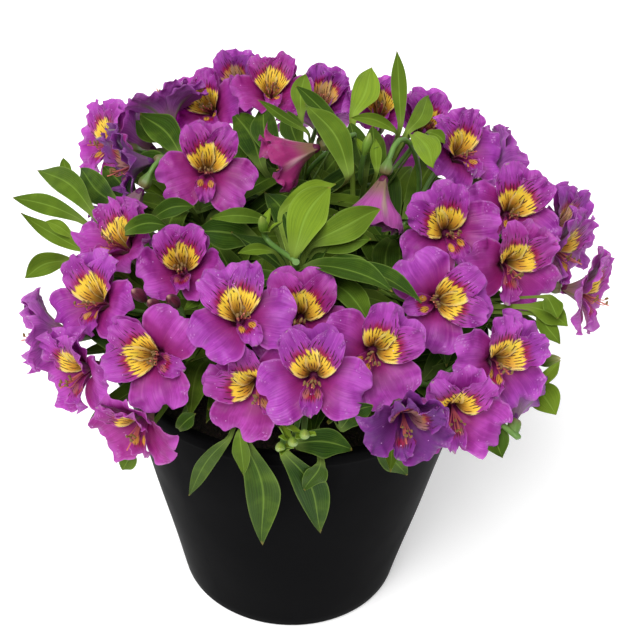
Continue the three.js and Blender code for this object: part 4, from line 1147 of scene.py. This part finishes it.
def grow_drops(growth, surface, chance, count):
    """Small domes of water on the upper side of a tepal."""
    rows, columns = surface.shape[:2]
    for _ in range(count):
        i, j = chance.integers(rows // 2, rows - 2), chance.integers(2, columns - 2)
        normal = unit(np.cross(surface[i, j + 1] - surface[i, j - 1], surface[i + 1, j] - surface[i - 1, j]))
        side = unit(surface[i, j + 1] - surface[i, j - 1])
        other = np.cross(normal, side)
        radius = chance.uniform(0.13, 0.36)
        rings = []
        for share in (0.0, 0.4, 0.72, 0.93):
            spread, height = math.cos(share * math.pi / 2), math.sin(share * math.pi / 2)
            rings.append([surface[i, j] + radius * (spread * (math.cos(a) * side + math.sin(a) * other)
                                                    + 0.75 * height * normal)
                          for a in np.linspace(0, 2 * math.pi, 7, endpoint=False)])
        tube(growth, rings, DROP_KIND, 0, WATER)


STAMENS = 6
STAMEN_TURN = 17
STAMEN_FOOT = Vector((0, 0, -8))
STYLE_PATH = (STAMEN_FOOT, Vector((0, -1, 4)), Vector((0, -4, 10)), Vector((0, -4, 13)))
# Shares along an anther and its radius there.
ANTHER_FORM = ((0, 0.2), (0.25, 0.55), (0.6, 0.68), (1, 0.6), (1.35, 0.2))
ANTHER_LENGTH = 1.7
# Heights up the hub of a bloom and its radius there.
HUB_FORM = ((-13, 0.7), (-12.5, 1.6), (-11, 2.4), (-9.8, 2.6), (-8.9, 2), (-8.4, 1.2), (-8.2, 0.5))


def grow_thread(growth, path, radius, thinning, steps):
    rings = [ring(*bezier(path, t), ASIDE, radius - thinning * t, 5) for t in np.linspace(0, 1, steps)]
    tube(growth, rings, STAMEN_KIND, 0, THREAD)


def grow_stamens(growth, chance, open_share):
    """Six filaments that come out of the throat low down and turn up, with oval anthers, and the style."""
    for k in range(STAMENS):
        turn = math.radians(270 + (k - 2.5) * STAMEN_TURN + chance.uniform(-6, 6))
        out = chance.uniform(3, 7) * (0.4 + 0.6 * open_share) * Vector((math.cos(turn), math.sin(turn), 0))
        height = chance.uniform(5, 12)
        path = [STAMEN_FOOT, 4 * UP + 0.2 * out, (height - 2) * UP + 1.3 * out,
                height * UP + 0.75 * out + Vector((0, 1.5, 0))]
        grow_thread(growth, path, 0.36, 0.14, 11)
        tip, ahead = bezier(path, 1)
        lean = (ahead + Vector(chance.uniform(-0.6, 0.6, 3).tolist())).normalized()
        rings = [ring(tip + lean * (share - 0.8) * ANTHER_LENGTH, lean, ASIDE, radius, 7)
                 for share, radius in ANTHER_FORM]
        tube(growth, rings, ANTHER_KIND, chance.random(), POLLEN)
    grow_thread(growth, STYLE_PATH, 0.5, 0.15, 8)


# The plain skin of a tepal, seen from inside the bloom. It darkens towards the throat, partly its own
# crimson and partly painted shade, and is near black at the foot of the throat, painted shade.
SKIN_MARKS = ("Across", "Along", "Draw", "Age", "Streaks")
skin_sockets = dict.fromkeys(SKIN_MARKS, "Float")
petal_front, given, taken = new_group("petal_front", skin_sockets, {"Shade": "Color"})
across, along, draw, age, streaks = given.values()
throat = along + (streaks - 0.5) * 0.3
clouds = speckle(petal_front, 110, 3)
join(taken, {"Shade": painted(
    "832080", (clouds.rise(0.35, 0.7), "B048B2"), (draw.rise(0.2, 1.0, 0, 0.35), "85329E"),
    (streaks.rise(0.42, 0.72, 0, 0.5), "771E74"), (streaks.rise(0.46, 0.28, 0, 0.3), "C06CC4"),
    # Darker crimson towards the throat: partly the tepal's own colour, partly painted shade.
    (age.rise(-1.0, 0.0, 0.85, 0), "8C1450"), (throat.rise(0.3, 0.85, 0.9, 0), "86195C"),
    (along.rise(0.8, 1.0, 0, 0.45), "B65CBA"), (abs(across).rise(0.9, 1.0, 0, 0.35), "C377C6"),
    # Near black at the foot of the throat: painted shade. Deep violet on old blooms: partly painted shade.
    (throat.rise(0.1, 0.3, 0.85, 0), "4E1230"), (age.rise(0.0, 1.0, 0, 0.8), "4E2062"))})

# The outside of a tepal laid over its inside. It is paler, partly its own colour and partly painted light
# that stands for light through the thin tepal, with an olive rib. On old blooms it turns dark violet,
# partly painted shade.
BACK_MARKS = ("Across", "Along", "Age", "Streaks", "Upper")
skin_sockets = {"Front": "Color", **dict.fromkeys(BACK_MARKS, "Float")}
petal_back, given, taken = new_group("petal_back", skin_sockets, {"Shade": "Color", "Roughness": "Float"})
front, across, along, age, streaks, upper = given.values()
middle = abs(across)
rib = middle.rise(0.03, 0.24, 1, 0) * along.rise(0.45, 0.9, 0.9, 0)
rib_shade = painted("77804A", (age.rise(-0.9, -0.2, 1, 0), "C795A2"))
back = painted(
    "B565B8", (streaks.rise(0.35, 0.7, 0, 0.7), "8B4296"), (age.rise(-1.0, 0.0, 0.9, 0), "96205F"),
    (rib, rib_shade), (along.rise(0.1, 0.48, 0.85, 0), "75623E"), (age.rise(0.0, 1.0, 0, 0.7), "502264"))
green_tip = middle.rise(0.05, 0.16, 1, 0) * along.rise(0.965, 0.99) * 0.5
join(taken, {"Shade": painted(front, (upper.rise(0.4, 0.6, 1, 0), back), (green_tip, "93A35A")),
             "Roughness": streaks.rise(0.3, 0.7, 0.42, 0.56)})

BLOTCH_EDGE = (9, 0.6, 23)
LANE_WOBBLE = (3, 7, 11)
LANES = 5.2
DASHES = 5.0


def blotch(tree, shade, marks):
    """Lays a yellow blotch in a crimson stain over the shade of an inner tepal, with rows of dark dashes."""
    across, along, draw, age, streaks = (marks[title] for title in SKIN_MARKS)
    kind, middle = marks["Kind"], abs(across)
    place = stored(tree, "place")

    def drawn(*values):
        """A number from 0 to 1 that goes with three others."""
        key = Tone(wire(tree, "CombineXYZ", enumerate(values)))
        return Tone(wire(tree, "TexWhiteNoise", {"Vector": key}), "Value")

    small = kind.rise(1.4, 1.6)
    ragged = (speckle(tree, 1, 3, BLOTCH_EDGE, place) - 0.41) * 0.3
    line = along + ragged + across * -0.045 + middle * middle * 0.05
    stain = line.rise(0.5, 0.58) * line.rise(0.64, 0.78, 1, 0) * middle.rise(0.2, 0.85, 0.95, 0.1)
    sideways, lengthways = (middle - 0.55) * 2.6, (along - 0.52) * 6.5
    spot = (sideways * sideways + lengthways * lengthways).rise(0.35, 0.9, 1, 0)
    broad = along.rise(0.02, 0.1) * line.rise(0.58, 0.64, 1, 0)
    # On old blooms the yellow fades with the age mark, partly painted shade.
    yellow = small.swap(broad, spot * draw.rise(0.3, 0.6, 0.95, 0.25)) * age.rise(0.15, 0.6, 1, 0.25)
    bright = painted("F0C63E", (age.rise(-0.9, -0.3, 0.8, 0.1), "E8A636"))
    # Towards the throat the yellow darkens to olive brown: painted shade.
    gold = painted("C48E2E", (along.rise(0.3, 0.5), bright), (along.rise(0.12, 0.34, 0.9, 0), "6A4C22"),
                   (middle.rise(0.75, 0.98, 0, 0.5), "EBD48E"), (small * 0.7, "B0732A"),
                   (streaks.rise(0.5, 0.75, 0, 0.25), "D69A36"))
    lanes = across * LANES + (speckle(tree, 1, 1, LANE_WOBBLE, place) - 0.5) * 0.5 + 20.5
    lane = lanes.worked("FLOOR")
    steps = along * DASHES + drawn(lane, draw * 97.0, kind) * 7.0
    keep = drawn(lane, steps.worked("FLOOR"), draw).rise(0.26, 0.3)
    half_width = abs(steps.worked("FRACT") - 0.5).rise(0.2, 0.43, 0.19, 0.0)
    dash = (abs(lanes.worked("FRACT") - 0.5) - half_width).rise(-0.05, 0.03, 1, 0)
    small_zone = abs(along - 0.55).rise(0.12, 0.2, 1, 0)
    zone = small.swap(along.rise(0.2, 0.26) * line.rise(0.76, 0.86, 1, 0), small_zone)
    return painted(shade, (stain, "8E0F3A"), (yellow, gold), (dash * keep * zone * 0.95, "3B0716"))


def petal_finish(name, blotched):
    """The skin of the tepals: magenta with fine veins, or with the yellow blotch and dark dashes."""
    made, tree, shader = new_finish(name, 0.48, Specular_IOR_Level=0.22, Subsurface_Weight=0.35,
                                    Subsurface_Radius=(1, 0.35, 0.9), Subsurface_Scale=0.0015)
    marks = dict(zip(MARKS, marks_on(tree, (20, 1.3, 37), MARKS)))
    shade = Tone(wire(tree, "Group", {title: marks[title] for title in SKIN_MARKS}, node_tree=petal_front))
    if blotched:
        shade = blotch(tree, shade, marks)
    skin = wire(tree, "Group", {"Front": shade, **{title: marks[title] for title in BACK_MARKS}},
                node_tree=petal_back)
    dress(shader, Tone(skin, "Shade"), marks["Streaks"], 0.0004, 0.5, Tone(skin, "Roughness"))
    return made


magenta_petal = petal_finish("magenta_petal", False)
blotched_petal = petal_finish("blotched_petal", True)

filament, tree, shader = new_finish("filament", 0.5)
along, = marks_on(tree, (1, 1, 1), ["Along"])
dress(shader, painted("7E1F4E", (along, "C9705A")))

anther = speckled("anther", 0.8, 1500, 3, "4A331C", "93713A", 0.0002)
# The drops are painted pale pink: a painted highlight for the glints of clear water.
water_drop_painted_glint = speckled("water_drop_painted_glint", 0.04, 60, 1, "B478B8", "DDBCDF", IOR=1.333, Specular_IOR_Level=0.9)
BLOOM_FINISHES = [magenta_petal, blotched_petal, filament, anther, water_drop_painted_glint]

# Old blooms, near 1, are painted a deep violet that is partly their age and partly painted shade for
# blooms that stand in shade; young ones, near -1, are still crimson.
BLOOM_AGE_AND_SHADE = {8: -0.5, 14: 0.9, 15: 0.5, 17: 0.4, 19: 0.45, 21: 0.4, 23: -1, 24: 0.4, 25: 0.35, 30: -0.5,
               32: 0.4, 36: 0.45, 44: 0.7, 45: 1}

for number, open_share, turn, throat in bloom_stands:
    chance = np.random.default_rng(500 + number)
    growth = Growth()
    age = BLOOM_AGE_AND_SHADE.get(number, chance.uniform(-0.45, 0.2))
    crimp = chance.uniform(0.9, 2.1)
    for line in tepal_lines(number, open_share):
        surface = grow_tepal(growth, line, open_share, crimp, chance, age)
        grow_drops(growth, surface, chance, chance.integers(0, 4))
    grow_stamens(growth, chance, open_share)
    # The hub's marks reach only 0.1 along, so it takes the near black of the throat: painted shade.
    hub = [ring(Vector((0, 0, height)), UP, ASIDE, radius, 16) for height, radius in HUB_FORM]
    tube(growth, hub, HUB_KIND, age, PETAL, reach=0.1)
    growth.points = [points @ turn.T + throat for points in growth.points]
    growth.piece(f"open_bloom_{number:02d}", BLOOM_FINISHES, "petal", f"bloom_{number:02d}")

# The floor, the light and the camera.
# A plain white floor that glows a little, even white light from all round, a broad key light from the front
# left and a weaker one from behind.
FLOOR_HALF = 40000
FLOOR_DROP = 0.5
WORLD_STRENGTH = 0.34
SENSOR_WIDTH = 36
floor_white = speckled("floor_white", 0.9, 3, 2, "F7F7F7", "F9F9F9", Specular_IOR_Level=0.1,
                       Emission_Color=(1, 1, 1, 1), Emission_Strength=0.22)
corners = [(x * FLOOR_HALF, y * FLOOR_HALF, -FLOOR_DROP) for x, y in ((-1, -1), (1, -1), (1, 1), (-1, 1))]
floor = new_object("floor", corners, [(0, 1, 2, 3)])
floor.data.materials.append(floor_white)

world = bpy.data.worlds.new("studio")
world.use_nodes = True
world.node_tree.nodes["Background"].inputs["Color"].default_value = (1, 1, 1, 1)
world.node_tree.nodes["Background"].inputs["Strength"].default_value = WORLD_STRENGTH
bpy.context.scene.world = world


def broad_light(name, azimuth, elevation, strength, spread):
    """Even light from one side of the studio, softened over a wide angle."""
    light = bpy.data.lights.new(name, "SUN")
    light.energy = strength
    light.angle = math.radians(spread)
    lamp = bpy.data.objects.new(name, light)
    lamp.rotation_mode = "QUATERNION"
    lamp.rotation_quaternion = facing(azimuth, elevation).to_track_quat("Z", "Y")
    bpy.context.scene.collection.objects.link(lamp)


broad_light("key", -25, 55, 3.4, 40)
broad_light("back", 150, 50, 0.7, 60)

eye = bpy.data.cameras.new("eye")
eye.sensor_width = SENSOR_WIDTH
eye.lens = FOCAL_PIXELS * SENSOR_WIDTH / max(PHOTO_SIZE)
eye.clip_start, eye.clip_end = 0.01, 200
camera = bpy.data.objects.new("eye", eye)
turn = Matrix((EYE_RIGHT, EYE_UP, EYE_BACK)).transposed()
camera.matrix_world = Matrix.Translation(EYE * MM) @ turn.to_4x4()
bpy.context.scene.collection.objects.link(camera)
bpy.context.scene.camera = camera
bpy.context.scene.view_settings.view_transform = "Standard"
